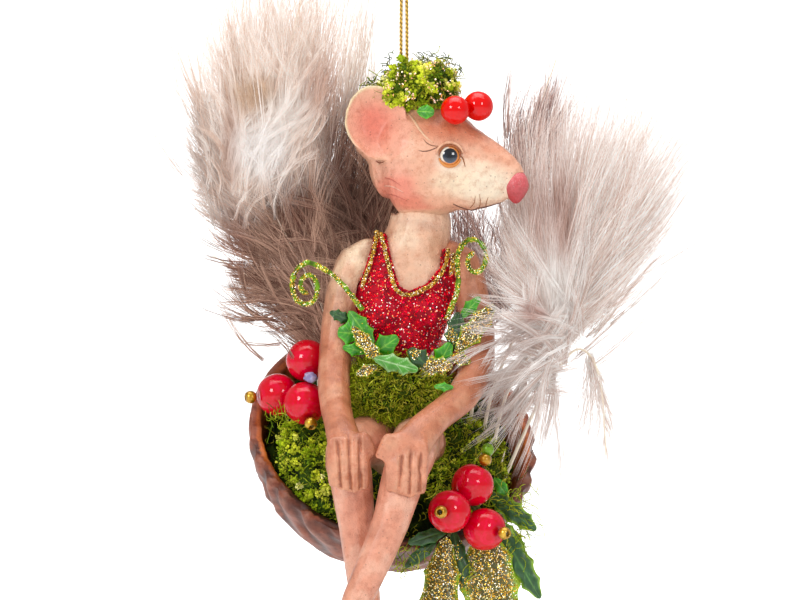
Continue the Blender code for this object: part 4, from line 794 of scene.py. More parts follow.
# %% [markdown]
# ### Nose, eyes and painted strokes
# The nose is a lacquered egg, wider above than below. It starts as a ball whose lower half is
# drawn in. The eye is a low glass dome with its iris painted behind it, in a ring of thick paint
# that stands for the lids. Mouth, lashes and whisker roots are single strokes of a fine brush, so
# each is a thin flat strand laid on the head.

# %% Nose
nose = start_shape("nose_tip", bpy.ops.mesh.primitive_uv_sphere_add, segments=48, ring_count=28,
                   radius=1.0)
nose_places, _ = places_of(nose)
narrow = 1.0 - 0.30 * ease(0.1, -1.0, nose_places[:, 2])
shaped = nose_places * NOSE_SIZE * np.stack([narrow, narrow, np.ones(len(narrow))], axis=1)
move_vertices(nose, NOSE + shaped[:, :1] * FORWARD - shaped[:, 1:2] * NEAR
              + shaped[:, 2:] * np.array([0, 0, 1.0]))
# the nose is paler on top and deeper red below, as painted light and shade
paint(nose, mix("B83A40", "D8656A", ease(-0.8, 0.9, nose_places[:, 2])), 0.9)
hand_over(nose, resin)

# %% Eyes
eye_glaze = start_finish("glazed_eye_enamel", "1B2230", 0.08, IOR=1.5, Coat_Weight=0.8,
                         Coat_Roughness=0.03)
add(eye_glaze, "Attribute", feeds=["Base Color"], attribute_name="paint")
eye_ripple = add(eye_glaze, "TexNoise", {"Scale": 1500.0})
add(eye_glaze, "Bump", {"Height": eye_ripple, "Strength": 0.04, "Distance": 0.0001},
    feeds=["Normal"])
EYE_PX = (449.5, 156.5)
EYE_RADIUS = 2.25 * MM


def far_side(places):
    """The mirror places on the far side of the head."""
    places = np.asarray(places, float)
    return places - 2 * ((places - HEAD_MIDDLE) @ NEAR)[..., None] * NEAR


def laid_on_head(px, py, lift=0.0):
    """The place on the near side of the head behind a picture pixel, and its normal."""
    x, z = picture(px, py)
    hit, normal, _, _ = head_tree.ray_cast(Vector((x, -0.1, z)), Vector((0, 1, 0)))
    if hit is None:
        hit, normal, _, _ = head_tree.find_nearest(Vector((x, -6.0 * MM, z)))
    return np.array(hit + normal * lift), np.array(normal)


eye_place, eye_normal = laid_on_head(*EYE_PX)
eye_normal = unit(eye_normal * 0.8 + np.array([0.0, -1.0, 0.05]) * 0.5)
eye_up = unit(np.array([0.0, 0.0, 1.0]) - eye_normal[2] * eye_normal)
eye_right = np.cross(eye_up, -eye_normal)
for name, sign in (("eye_near", 1.0), ("eye_far", -1.0)):
    eye = start_shape(name, bpy.ops.mesh.primitive_uv_sphere_add, segments=56, ring_count=36,
                      radius=1.0)
    eye_verts, _ = places_of(eye)
    reach = np.hypot(eye_verts[:, 0], eye_verts[:, 1])
    dome = (eye_verts[:, :1] * eye_right * EYE_RADIUS + eye_verts[:, 1:2] * eye_up * EYE_RADIUS
            + eye_verts[:, 2:] * eye_normal * 1.15 * MM)
    dome = eye_place - eye_normal * 0.25 * MM + dome
    move_vertices(eye, dome if sign > 0 else far_side(dome))
    if sign < 0:
        eye.data.flip_normals()
    # the pupil is near black, and its blue-grey lower part is a painted reflection
    pupil_and_reflection = mix("0B0E16", "38485C", ease(0.1, 0.75, reach) * ease(0.6, -0.8, eye_verts[:, 1]))
    white = ease(-0.05, 0.35, eye_verts[:, 0]) * ease(-0.75, -0.35, eye_verts[:, 1])
    tone = mix(pupil_and_reflection, mix("D9853A", "EFE4D4", white), ease(0.70, 0.76, reach))
    paint(eye, mix(tone, "7A3F1A", ease(0.90, 1.0, reach)), 0.9)
    hand_over(eye, eye_glaze)

# %% Lids
LID_STEPS = 26


def eye_arc(start, end, reach_x, reach_y, lift, count=LID_STEPS):
    """A line of places round the eye from one angle to another, in degrees."""
    angles = np.radians(np.linspace(start, end, count))
    spots = (eye_place + np.cos(angles)[:, None] * reach_x * eye_right
             + np.sin(angles)[:, None] * reach_y * eye_up)
    return spots + eye_normal * lift


swell = np.sin(np.linspace(0.08, 1.0, LID_STEPS) * math.pi * 0.97) ** 0.5
for number, (near_line, thick, code) in enumerate([
        (eye_arc(190, -8, 2.42 * MM, 2.30 * MM, 0.30 * MM), 0.26 * MM, "9C5424"),
        (eye_arc(196, 352, 2.42 * MM, 2.34 * MM, 0.22 * MM), 0.36 * MM, "D98A3C"),
        (eye_arc(170, 10, 2.95 * MM, 2.95 * MM, 0.0), 0.42 * MM, "E7B08E")]):
    for side, line in (("near", near_line), ("far", far_side(near_line))):
        lid = strands(f"eyelid_{number}_{side}", [line], [thick * swell],
                      [[colour(code)] * LID_STEPS], sides=10)
        edit(lid, bpy.ops.mesh.normals_make_consistent, inside=False)
        hand_over(lid, resin)

# %% Brush strokes on the face
STROKE_STEPS = 16


def brush_strokes(name, paths, finish, sides=5):
    """Thin painted strokes through picture pixels. A path is (pixels, half width mm, colour)."""
    lines, radii, tones = [], [], []
    for pixels, half, code in paths:
        dense = through([(*pixel, 0.0) for pixel in pixels], 6)
        dense = dense[np.linspace(0, len(dense) - 1, STROKE_STEPS).astype(int)]
        near_line = np.array([laid_on_head(x, y, 0.03 * MM)[0] for x, y, _ in dense])
        taper = np.sin(np.linspace(0.15, 1.0, STROKE_STEPS) * math.pi) ** 0.6 + 0.12
        for line in (near_line, far_side(near_line)):
            lines.append(line)
            radii.append(half * MM * taper)
            tones.append([colour(code)] * STROKE_STEPS)
    made = strands(name, lines, np.array(radii), np.array(tones), sides=sides, flat=0.5)
    return hand_over(made, finish)


brush_strokes("mouth_and_lash_strokes", [
    ([(453, 204), (460, 207), (472, 210), (488, 209), (504, 203)], 0.17, "6A3D2A"),
    ([(437, 148), (430, 151), (424, 152), (418, 151)], 0.13, "7A4A30"),
    ([(438, 147), (431, 146), (426, 143), (423, 139)], 0.11, "8A5636"),
    ([(460, 156), (463, 160), (465, 168)], 0.15, "A0602A"),
    ([(405, 111), (413, 120), (420, 131), (427, 139), (434, 144)], 0.26, "E6B996"),
    ([(376, 161), (380, 163), (385, 162)], 0.16, "A8604A"),
    ([(385, 178), (392, 180), (401, 186)], 0.14, "C96A58"),
    ([(384, 186), (393, 187), (404, 193)], 0.14, "EFB9A2"),
    ([(388, 194), (396, 196), (407, 201)], 0.14, "C96A58"),
    ([(470, 208), (474, 203), (475, 196)], 0.10, "A8704A"),
    ([(478, 210), (480, 203), (479, 194)], 0.10, "B57E55"),
    ([(485, 209), (486, 203), (488, 197)], 0.10, "A8704A"),
], resin)

# %% [markdown]
# ### Neck, arms and legs
# The neck is cream under the chin. Arms and legs are terracotta, darker in the creases between
# the fingers as painted shade and paler on the high places as painted highlight. The crease is
# found by comparing each vertex with the average of its surroundings.

# %% Limb paint
def hollowness(obj, rounds=8):
    """How far each vertex lies in a hollow, from the pull of repeated smoothing."""
    places, normals = places_of(obj)
    copy = obj.copy()
    copy.data = obj.data.copy()
    bpy.context.scene.collection.objects.link(copy)
    apply_modifier(copy, "SMOOTH", iterations=rounds)
    blurred, _ = places_of(copy)
    bpy.data.objects.remove(copy)
    return ((blurred - places) * normals).sum(axis=1)


def paint_limb(obj, node, mid, pale, deep, marks=()):
    """Paints a casting: painted shade in its creases, painted highlight on its ridges."""
    places, _ = places_of(obj)
    hollow = hollowness(obj)
    tone = np.broadcast_to(colour(mid), (len(places), 3))
    tone = blobs(*pixel_of(places), tone, marks)
    broad = ripple(places, 6.0 * MM, 1.0)
    fine = ripple(places, 1.3 * MM, 5.0)
    tone = mix(tone, pale, 0.55 * ease(0.05, 0.5, broad))
    tone = mix(tone, deep, 0.5 * ease(0.05, 0.5, -broad))
    # painted shade in the creases, and painted highlight on the ridges
    tone = mix(tone, deep, 0.85 * ease(0.01 * MM, 0.07 * MM, hollow))
    tone = mix(tone, pale, 0.6 * ease(0.01 * MM, 0.05 * MM, -hollow))
    tone = tone * (1 + 0.12 * fine[:, None])
    paint(obj, np.clip(tone, 0, 1), 0.35 + 0.2 * np.clip(fine, -1, 1))
    hand_over(obj, resin, [node])


# pixels of the gaps between the fingers, from knuckle to tip
FINGER_GAPS = {
    "arm_left": [((338, 437), (341, 486)), ((349, 432), (351, 489)), ((360, 434), (361, 487))],
    "arm_right": [((402, 451), (399, 487)), ((411, 448), (409, 491)), ((421, 449), (419, 489))]}


def soften(obj, share, rounds):
    """Smooths a casting by a share from 0 to 1 at each vertex."""
    group = obj.vertex_groups.new(name="softened")
    for index, weight in enumerate(share):
        if weight > 0.01:
            group.add([index], float(weight), "REPLACE")
    apply_modifier(obj, "SMOOTH", iterations=rounds, vertex_group=group.name)
    obj.vertex_groups.clear()


def carve(obj, gaps, width, depth):
    """Cuts rounded grooves along pixel lines into a casting's front."""
    places, normals = places_of(obj)
    px, py = pixel_of(places)
    cut = np.zeros(len(places))
    for (x0, y0), (x1, y1) in gaps:
        t = np.clip(((px - x0) * (x1 - x0) + (py - y0) * (y1 - y0))
                    / ((x1 - x0) ** 2 + (y1 - y0) ** 2), 0, 1)
        away = np.hypot(px - x0 - t * (x1 - x0), py - y0 - t * (y1 - y0)) * PIXEL
        cut = np.maximum(cut, np.exp(-(away / width) ** 2) * ease(0.0, 0.25, t + 0.08))
    front = ease(0.1, 0.6, -normals[:, 1])
    move_vertices(obj, places - normals * (depth * cut * front)[:, None])


for obj, node in zip(arms, ("arm_left", "arm_right")):
    heights = places_of(obj)[0][:, 2] / MM
    soften(obj, ease(-117.0, -111.0, heights), 26)
    soften(obj, ease(-104.0, -108.0, heights), 22)
    soften(obj, ease(5.0, 2.0, np.abs(heights + 113.0)), 110)
    soften(obj, ease(3.5, 1.5, np.abs(heights + 125.0)), 30)
    carve(obj, FINGER_GAPS[node], 0.44 * MM, 0.66 * MM)
for obj in legs:
    soften(obj, np.ones(len(obj.data.vertices)), 6)

# The neck's top is pressed into the jaw, so that no line of light shows between the castings.
NECK_TOP, JAW_REACH = -77.0 * MM, 1.6
torso_places, _ = places_of(torso)
for index, spot in enumerate(torso_places):
    if spot[2] > NECK_TOP:
        _, normal, _, distance = head_tree.find_nearest(Vector(spot))
        if distance < JAW_REACH * MM:
            pressed = 1.3 * MM * float(ease(JAW_REACH, 0.6, distance / MM))
            torso_places[index] -= np.array(normal) * pressed
move_vertices(torso, torso_places)
# the first mark is painted shade on the neck under the jaw
paint_limb(torso, "torso", "E6B798", "F0D0B4", "C48C6A",
           [(430, 222, 50, 12, "CDA088", 0.6), (405, 236, 16, 20, "F0D6B8", 0.6)])
for obj, node in zip(arms, ("arm_left", "arm_right")):
    paint_limb(obj, node, "C47A58", "DDA180", "96502F",
               [(350, 262, 60, 50, "EAC8A8", 1.0), (345, 300, 40, 50, "D8A888", 0.5),
                (356, 240, 30, 30, "EED2B2", 0.9), (462, 280, 40, 60, "D08E6C", 0.5),
                (350, 452, 44, 34, "D58C6C", 0.7), (405, 466, 40, 34, "DE987A", 0.7)])
for obj, node in zip(legs, ("leg_left", "leg_right")):
    paint_limb(obj, node, "DC9579", "F0BCA2", "AC644A",
               [(340, 585, 26, 30, "C77E5E", 0.5)])

# %% [markdown]
# ## Feather wings
# The wings are marabou and ostrich plumes: a thin quill with very fine, soft barbs that bend
# towards its tip. The barbs are what the eye sees, so each plume is a quill and some thousands of
# strands. A real barb is 0.05 mm thick. These are drawn about three times as thick, and fewer, so
# that they still show at this size. Their dye changes by place, from cream tips to mauve brown
# roots. On the left wing a painted shadow lies beside the body and a painted highlight on the
# lower mass, and all barbs glow a little with their own colour, as painted light for the light
# that thin barbs let through.

# %% Barb finish
# the barbs glow a little with their own colour, as painted light for the light that thin barbs let
# through
barbs = start_finish("dyed_marabou_barbs", "E8DCD4", 0.75, Sheen_Weight=0.2, Sheen_Roughness=0.4,
                     Specular_IOR_Level=0.2, Emission_Strength=0.15)
grained_paint(barbs, {"Scale": 500.0, "Detail": 3.0}, 0.5, [(0.32, "E6DEDA"), (0.55, "FFFFFF")],
              ["Base Color", "Emission Color"])

# %% Growing barbs
# the packing's top: its normal, and how far it lies from the shell's middle, in millimetres
BED_SLOPE = np.array([-0.159, 0.749, -0.643])
BED_OFFSET = 3.0
SHELL_MIDDLE = np.array([-2.4, 10.0, -113.5])
QUILL_SET = 3.0  # how deep a quill is stuck into the packing


def quill_line(root, route):
    """A quill from the packing in the shell along its route, in metres, in even steps."""
    rise = (BED_OFFSET - BED_SLOPE[:2] @ (np.array(root) - SHELL_MIDDLE[:2])) / BED_SLOPE[2]
    points = [(*root, SHELL_MIDDLE[2] + rise - QUILL_SET)]
    points += [(x, y, SHELL_MIDDLE[2] + height) for x, y, height in route]
    return spaced(through(points, 12), 1.0) * MM


BARB_SHARE = 0.72  # of the barbs that are asked for, this share is drawn
BARB_SWELL = 1.2  # and each is drawn so much thicker, to cover as much


def fewer(count, each):
    """The barbs that are drawn of so many, in as many wisps, so that the model stays light."""
    return int(BARB_SHARE * count), max(2, round(BARB_SHARE * each))


def wisps(rng, count, each):
    """The wisp that each barb belongs to, because barbs cling together, and how many there are."""
    total = max(2, count // each)
    return rng.integers(0, total, count), total


def grow(line, count, reach, lean, rng, start=0.25, end=0.85, wobble=0.22, depth=0.30,
         droop=0.0, stations=5, slim=0.62, each=12):
    """Barbs on both sides of a quill, as lines of shape (count, stations, 3).

    The reach is the barbs' length to the left and right in millimetres. They leave at the lean
    and bend towards the quill's tip. Slim is the share of the reach at the ends of the vane, and
    each the barbs in a wisp.
    """
    count, each = fewer(count, each)
    wisp, total = wisps(rng, count, each)
    t = rng.uniform(start, end, total)[wisp] + rng.normal(0, 0.008, count)
    slot = np.clip(t, 0.0, 1.0) * (len(line) - 1)
    low = np.minimum(slot.astype(int), len(line) - 2)
    share = (slot - low)[:, None]
    base = line[low] * (1 - share) + line[low + 1] * share
    along = unit(np.gradient(line, axis=0))[low]
    side = unit(np.cross(along, (0.0, 1.0, 0.0)))
    back = np.cross(side, along)
    sign = np.where(rng.random(total) < reach[1] / (reach[0] + reach[1]), 1.0, -1.0)[wisp]
    spread = np.clip((t - start) / (end - start), 0, 1)
    swell = slim + (1 - slim) * np.sin(np.pi * np.clip(0.1 + 0.8 * spread, 0, 1))
    length = np.where(sign > 0, reach[1], reach[0]) * swell * MM
    length *= rng.uniform(0.55, 1.1, total)[wisp] * rng.uniform(0.8, 1.05, count)
    s = np.linspace(0, 1, stations)[None, :]
    first = rng.normal(lean, 0.2, total)[wisp] * (1 - 0.35 * spread ** 2)
    first = first + rng.normal(0, 0.07, count)
    phase = rng.uniform(0, 2 * np.pi, (total, 1))[wisp]
    sway = rng.normal(0, 1, (total, 1))[wisp] + rng.normal(0, 0.3, (count, 1))
    angle = (first[:, None] * (1 - 0.45 * s) + wobble * sway * s
             + 0.5 * wobble * np.sin(4.0 * s + phase))
    lean_back = depth * (rng.normal(0, 1, (total, 1))[wisp] + rng.normal(0, 0.25, (count, 1)))
    lean_back = lean_back + 0.3 * wobble * np.sin(5.0 * s + 2 * phase)
    step = (along[:, None] * np.cos(angle)[..., None]
            + (sign[:, None] * side)[:, None] * np.sin(angle)[..., None]
            + back[:, None] * lean_back[..., None])
    step[..., 2] -= droop * s
    walk = np.cumsum(unit(step) * (length / (stations - 1))[:, None, None], axis=1)
    walk = np.concatenate([np.zeros((count, 1, 3)), walk[:, :-1]], axis=1)
    return base[:, None] + walk


def fan(hub, spread, angles, length, rng, count, toward=0.0, bend=0.0, depth=0.2, stations=5,
        outward=0.0, shortest=0.55, each=12):
    """Barbs that fan out from one place between angles, in degrees in the picture.

    The length is given for each of the angles, and shortest is the least share of it. Outward
    moves starts along their own way, by up to that share of the length.
    """
    count, each = fewer(count, each)
    wisp, total = wisps(rng, count, each)
    s = np.linspace(0, 1, stations)[None, :]
    aim = rng.uniform(min(angles), max(angles), total)[wisp] + rng.normal(0, 1.6, count)
    order = np.argsort(angles)
    reach = np.interp(aim, np.array(angles)[order], np.array(length)[order]) * MM
    reach = reach * rng.uniform(shortest, 1.06, total)[wisp] * rng.uniform(0.85, 1.04, count)
    begin = outward * (rng.random(total)[wisp] + rng.normal(0, 0.05, count)) * reach
    turn = np.radians(bend) * rng.uniform(0.4, 1.6, (total, 1))[wisp] * s
    phase = rng.uniform(0, 6, (total, 1))[wisp]
    wave = 0.16 * (rng.normal(0, 1, (total, 1))[wisp] + rng.normal(0, 0.25, (count, 1)))
    angle = np.radians(aim)[:, None] + turn + wave * np.sin(3.5 * s + phase)
    across = toward + depth * (rng.normal(0, 1, (total, 1))[wisp] + rng.normal(0, 0.2, (count, 1)))
    step = unit(np.stack([np.cos(angle), np.broadcast_to(across, angle.shape), np.sin(angle)],
                         axis=2))
    walk = np.cumsum(step * ((reach - begin) / (stations - 1))[:, None, None], axis=1)
    walk = (np.concatenate([np.zeros((count, 1, 3)), walk[:, :-1]], axis=1)
            + step[:, :1] * begin[:, None, None])
    start = rng.normal(0, 1, (total, 3))[wisp] * np.array(spread) + rng.normal(0, 0.3, (count, 3))
    return (np.array(hub) * MM + start * MM)[:, None] + walk


def streaks(lines, rng, size=0.9):
    """A share from 0 to 1 for each barb, alike for barbs that start near each other."""
    soft = 0.5 + 1.5 * ripple(lines[:, 0], size * MM, 7.0, 3)
    return np.clip(0.75 * soft + 0.25 * rng.random(len(lines)), 0, 1)[:, None]


WING_CORE = 0.3  # the share of a dye mark's reach that has its full strength


def left_dye_and_painted_light(lines, rng, bias=0.0):
    """Dye of the left wing, cream above and mauve brown below and at its left edge, with painted
    shadow and highlight.
    """
    px, py = pixel_of(lines)
    pick = streaks(lines, rng)
    pale = np.broadcast_to(mix("FBF3EC", "E2C6B4", pick ** 1.5), lines.shape)
    dark = np.broadcast_to(mix("5C382C", "CFA892", pick), lines.shape)
    jitter = rng.normal(0, 10, (len(lines), 1))
    brown = ease(166, 214, py + jitter + 0.55 * (px - 290))
    brown = np.maximum(brown, ease(306, 350, px + jitter) * ease(70, 130, py))
    brown = np.maximum(brown, 0.45 * ease(236, 200, px + jitter) * ease(60, 130, py))
    return blobs(px, py, mix(pale, dark, np.clip(brown + bias, 0, 1)), [
        (254, 94, 34, 24, "C2986A", 0.65), (230, 150, 14, 66, "B08068", 0.55),
        (262, 150, 44, 46, "FBF8F6", 0.8), (286, 112, 34, 34, "F7F1EC", 0.7),
        (322, 84, 26, 40, "C08E76", 0.55), (338, 150, 26, 44, "6A463A", 0.7),
        # (352, 205) is painted shadow beside the body, and (300, 262) a painted highlight on the
        # lower mass
        (352, 205, 40, 60, "4A2C22", 0.75), (300, 262, 30, 36, "B08C7C", 0.35),
        (300, 205, 26, 34, "6E4436", 0.5), (232, 240, 24, 50, "9A6E60", 0.5)], WING_CORE)


def right_dye(lines, rng, bias=0.0):
    """Dye of the right wing: white silk with rose and tan streaks."""
    px, py = pixel_of(lines)
    tone = mix("FFFDFA", "DAC2B6", streaks(lines, rng) ** 1.5)
    tone = mix(tone, "C9A596", (rng.random((len(lines), 1)) < 0.12) * 0.6)
    tone = blobs(px, py, np.broadcast_to(tone, lines.shape), [
        (562, 215, 18, 70, "B07C68", 0.65), (540, 210, 16, 60, "BC8E7E", 0.5),
        (552, 130, 20, 40, "C09A8C", 0.4), (520, 195, 20, 50, "B08A7C", 0.5),
        (556, 285, 24, 44, "FDFAF6", 0.85), (650, 110, 40, 30, "EBDCCC", 0.5),
        (533, 312, 18, 14, "BE8C7C", 0.75), (495, 400, 40, 50, "A08C82", 0.6),
        (510, 340, 50, 24, "A88E84", 0.5)], WING_CORE)
    return mix(tone, "8A6E6A", np.clip(bias, 0, 1) * np.ones(px.shape))


BARBS_BEYOND = 12.9 * MM  # how far loose barbs may reach past the solid's box at either side


def plume(name, node, quill, lines, tone, thick, quill_tone="E9DCC8"):
    """One piece from a quill and its barbs, which are shortened where they would reach too far."""
    count, stations, _ = lines.shape
    sideways = lines[..., 0]
    too_far = np.maximum(sideways.max(axis=1) - SOLID_BOX[1][0],
                         SOLID_BOX[0][0] - sideways.min(axis=1))
    reach = np.abs(sideways - sideways[:, :1]).max(axis=1)
    keep = 1 - np.maximum(too_far - BARBS_BEYOND, 0) / np.maximum(reach, 0.1 * MM)
    lines = lines[:, :1] + (lines - lines[:, :1]) * np.clip(keep, 0.2, 1)[:, None, None]
    taper = np.linspace(1.0, 0.35, stations)[None, :]
    rng = np.random.default_rng(len(name))
    radii = BARB_SWELL * thick * MM * taper * rng.uniform(0.7, 1.2, (count, 1))
    made = strands(name, lines, radii, tone, flat=0.8)
    if quill is not None:
        rows = len(quill)
        stem = strands("quill", [quill], [np.linspace(0.45, 0.12, rows) * MM],
                       [[colour(quill_tone)] * rows], sides=8)
        select_only(made)
        stem.select_set(True)
        bpy.ops.object.join()
    return hand_over(made, barbs, [node] if node else [])


print("barb makers ready")

# %% [markdown]
# ### Left wing
# Two long cream plumes stand in front of three mauve brown ones. The down in the middle of the
# wing is curly and white, and lies over the brown.

# %% Left plumes
LEFT_PLUMES = [
    # node, root, route, reach left and right, lean, count, brown bias, slot
    ("plume_left_white_inner", (-11.5, 7.0), [(-13.0, 7.8, 13), (-20, 9.4, 39), (-26, 9.2, 75),
     (-21, 9.0, 103)], (20, 24), 0.55, 3600, 0.0, "white_feather"),
    ("plume_left_white_outer", (-14.5, 9.0), [(-16.5, 10.2, 13), (-26, 11.8, 39),
     (-36, 12.4, 73), (-35, 12.8, 101)], (16, 18), 0.5, 3000, 0.0, "white_feather"),
    ("feather_left_brown_inner", (-9.5, 12.6), [(-10.5, 13.4, 13), (-13, 14.4, 35),
     (-17, 14.8, 59), (-19, 15.0, 79)], (17, 19), 0.6, 2400, 0.5, "brown_feather"),
    ("feather_left_brown_outer", (-16.5, 14.8), [(-19.0, 16.2, 16), (-30, 17.4, 36),
     (-41, 17.8, 58), (-46, 18.2, 85)], (11, 16), 0.5, 2600, 0.12, "brown_feather"),
    ("feather_left_brown_low", (-18.5, 17.2), [(-20.0, 19.2, 20), (-26.0, 20.4, 30),
     (-34, 21.0, 35), (-43, 21.4, 40)], (6, 9), 0.5, 1500, 0.6, "brown_feather"),
]
for number, (node, root, route, reach, lean, count, bias, slot) in enumerate(LEFT_PLUMES):
    rng = np.random.default_rng(100 + number)
    quill = quill_line(root, route)
    lines = grow(quill, count, reach, lean, rng, start=0.16)
    if node == "plume_left_white_inner":
        lines = np.concatenate([lines, fan(
            (-20.0, 9.0, -72), (5.0, 2.0, 6.0), (62, 74, 90, 106, 118), (48, 64, 74, 68, 50), rng,
            1800, outward=0.55, bend=-8, depth=0.05), fan(
            (-13.0, 10.5, -62), (3.0, 2.0, 5.0), (66, 76, 88), (36, 50, 56), rng, 700,
            outward=0.6, bend=-4, depth=0.04)])
        # barbs beside the cord's loop are left out, so that the swing doesn't drive them into it
        beside = (lines[..., 0] > -4.8 * MM) & (lines[..., 2] > -31.0 * MM)
        lines = lines[~beside.any(axis=1)]
    if node == "plume_left_white_outer":
        lines = np.concatenate([lines, fan(
            (-31.0, 12.0, -66), (5.0, 2.0, 5.0), (70, 82, 94, 108, 124), (62, 66, 60, 48, 36), rng,
            1500, outward=0.55, bend=-6, depth=0.05)])
    if node == "feather_left_brown_inner":
        lines = np.concatenate([lines, fan(
            (-11.0, 13.0, -78), (3.0, 1.5, 5.0), (14, 38, 58, 84, 104, 130),
            (14, 20, 28, 34, 34, 26), rng, 1400, outward=0.5, bend=10, depth=0.08), fan(
            (-5.5, 13.4, -73), (2.5, 1.5, 4.0), (60, 85, 110), (22, 25, 22), rng, 1400,
            outward=0.4, depth=0.08, each=6)])
    if node == "feather_left_brown_outer":
        lines = np.concatenate([lines, fan(
            (-22.0, 15.0, -76), (4.0, 2.0, 5.0), (112, 126, 140, 160, 190), (46, 50, 34, 22, 16),
            rng, 1100, outward=0.55, bend=-16, depth=0.08)])
    plume(node + "_barbs", node, quill, lines, left_dye_and_painted_light(lines, rng, bias), 0.066)

# %% Front plume and down of the left wing
rng = np.random.default_rng(120)
front_quill = quill_line((-13.4, 5.8), [(-15.2, 6.2, 14), (-17.5, 6.2, 27), (-27, 5.6, 46),
                                        (-38, 5.8, 66)])
front = np.concatenate([
    grow(front_quill, 1700, (20, 15), 0.55, rng, start=0.34, end=0.86),
    fan((-16, 4.5, -76), (5.5, 1.6, 8.0), (85, 165), (17, 17), rng, 900, depth=0.2, bend=35),
    fan((-26, 7.0, -84), (5.0, 1.8, 4.0), (110, 200), (19, 13), rng, 900, depth=0.2, bend=-30),
    fan((-9, 6.0, -70), (3.0, 1.5, 9.0), (60, 140), (15, 15), rng, 700, depth=0.2, bend=30)])
plume("feather_left_brown_front_barbs", "feather_left_brown_front", front_quill[:-14], front,
      left_dye_and_painted_light(front, rng, 0.2), 0.062)
down = np.concatenate([
    fan((-33, 3.5, -56), (4.0, 1.4, 4.5), (48, 100), (17, 14), rng, 1000, depth=0.3, bend=-30),
    fan((-29, 3.0, -48), (4.0, 1.4, 4.0), (20, 80), (13, 13), rng, 700, depth=0.3, bend=40),
    fan((-36, 5.0, -50), (3.5, 1.5, 7.0), (70, 120), (17, 17), rng, 700, depth=0.25, bend=40),
    fan((-27, 3.5, -40), (4.0, 1.5, 5.0), (60, 130), (16, 16), rng, 600, depth=0.25, bend=-20)])
plume("left_down", None, None, down, left_dye_and_painted_light(down, rng, -0.25), 0.052)

# %% [markdown]
# ### Right wing
# Long silky barbs rise in a fan from where the plumes are bound together. A mauve plume stands
# behind them. Soft barbs sweep back over the arm, a fringe hangs below, and one thin wisp droops
# at the right.

# %% Right plumes
rng = np.random.default_rng(200)
mauve_quill = quill_line((14.0, 16.0), [(16.0, 15.4, 12), (22, 15.4, 40), (28, 15.8, 66),
                                        (34, 16.2, 84)])
mauve_lines = np.concatenate([
    grow(mauve_quill, 2300, (15, 7), 0.42, rng, start=0.3, end=0.84),
    fan((26.5, 15.0, -66), (2.2, 1.5, 5.0), (72, 82, 94, 108), (35, 33, 24, 18), rng,
        1400, outward=0.5, bend=-8, depth=0.06),
    fan((15.0, 14.6, -85), (3.0, 1.5, 5.0), (70, 90, 110, 135), (20, 25, 25, 18), rng, 1300,
        outward=0.4, bend=-6, depth=0.08, each=6)])
mauve_tone = mix("6E4A48", "E2C4BA", streaks(mauve_lines, rng) ** 0.8)
plume("feather_right_mauve_barbs", "feather_right_mauve", mauve_quill, mauve_lines,
      np.broadcast_to(mauve_tone, mauve_lines.shape), 0.07)

SILK_ANGLES = (126, 118, 108, 98, 90, 82, 74, 66, 58, 50, 42)
SILK_REACH = (22, 28, 34, 44, 57, 59, 59, 58, 54, 38, 16)
RIGHT_PLUMES = [
    ("plume_right_white_inner", (16.5, 14.0), [(20.0, 12.2, 11), (31, 11.6, 36), (40, 12.0, 58),
     (47, 12.4, 79)], (20, 12), 0.38, 1800, (34.0, 9.0, -91)),
    ("plume_right_white_outer", (18.5, 12.0), [(23.0, 8.0, 10), (34, 6.8, 26), (47, 7.0, 46),
     (61, 8.0, 68)], (20, 8), 0.38, 1600, (35.0, 5.0, -91)),
]
for number, (node, root, route, reach, lean, count, hub) in enumerate(RIGHT_PLUMES):
    rng = np.random.default_rng(210 + number)
    quill = quill_line(root, route)
    lines = np.concatenate([
        grow(quill, count, reach, lean, rng, start=0.34, end=0.78, wobble=0.16, slim=0.35),
        fan(hub, (3.0, 2.0, 3.0), SILK_ANGLES, SILK_REACH, rng, 2700, outward=0.6, bend=-9,
            depth=0.06, shortest=0.8)])
    plume(node + "_barbs", node, quill[:int(len(quill) * 0.8)], lines, right_dye(lines, rng), 0.06)

# %% Sweeping barbs, fringe and wisp
rng = np.random.default_rng(220)
low_quill = quill_line((19.5, 9.6), [(24.5, 3.0, 4), (29.0, -5.6, 14), (28.0, -10.6, 26),
                                     (20.0, -11.6, 38)])
sweep = np.concatenate([
    grow(low_quill, 560, (15, 7), 0.9, rng, start=0.35, droop=0.3, slim=0.4, each=22),
    fan((33.5, -5.0, -92), (2.4, 2.0, 3.0), (118, 140, 212), (26, 25, 25), rng, 780,
        toward=-0.32, bend=34, each=22),
    fan((31.0, -5.0, -98), (2.4, 2.0, 3.0), (190, 262), (25, 26), rng, 680, toward=-0.25,
        bend=16, each=22),
    fan((35.0, 0.0, -90), (2.4, 2.0, 3.0), (75, 110, 140), (26, 36, 28), rng, 820,
        toward=-0.12, bend=-6, each=20)])
plume("plume_right_low_barbs", "plume_right_low", low_quill[:12], sweep,
      right_dye(sweep, rng, 0.12), 0.066)
wisp_quill = quill_line((21.0, 11.0), [(30.5, 4.0, 9), (38.0, 2.6, 19), (43.0, 1.8, 13),
                                       (44.5, 1.4, -5)])
wisp = np.concatenate([
    grow(wisp_quill, 160, (9, 8), 0.3, rng, start=0.6, end=0.95, wobble=0.15, depth=0.12),
    fan((41.0, 2.6, -96.5), (0.5, 0.5, 1.0), (264, 276, 296), (21, 23, 20), rng, 150, depth=0.05,
        bend=-18, shortest=0.8, each=6)])
plume("plume_right_wisp_barbs", "plume_right_wisp", wisp_quill, wisp, right_dye(wisp, rng), 0.05)
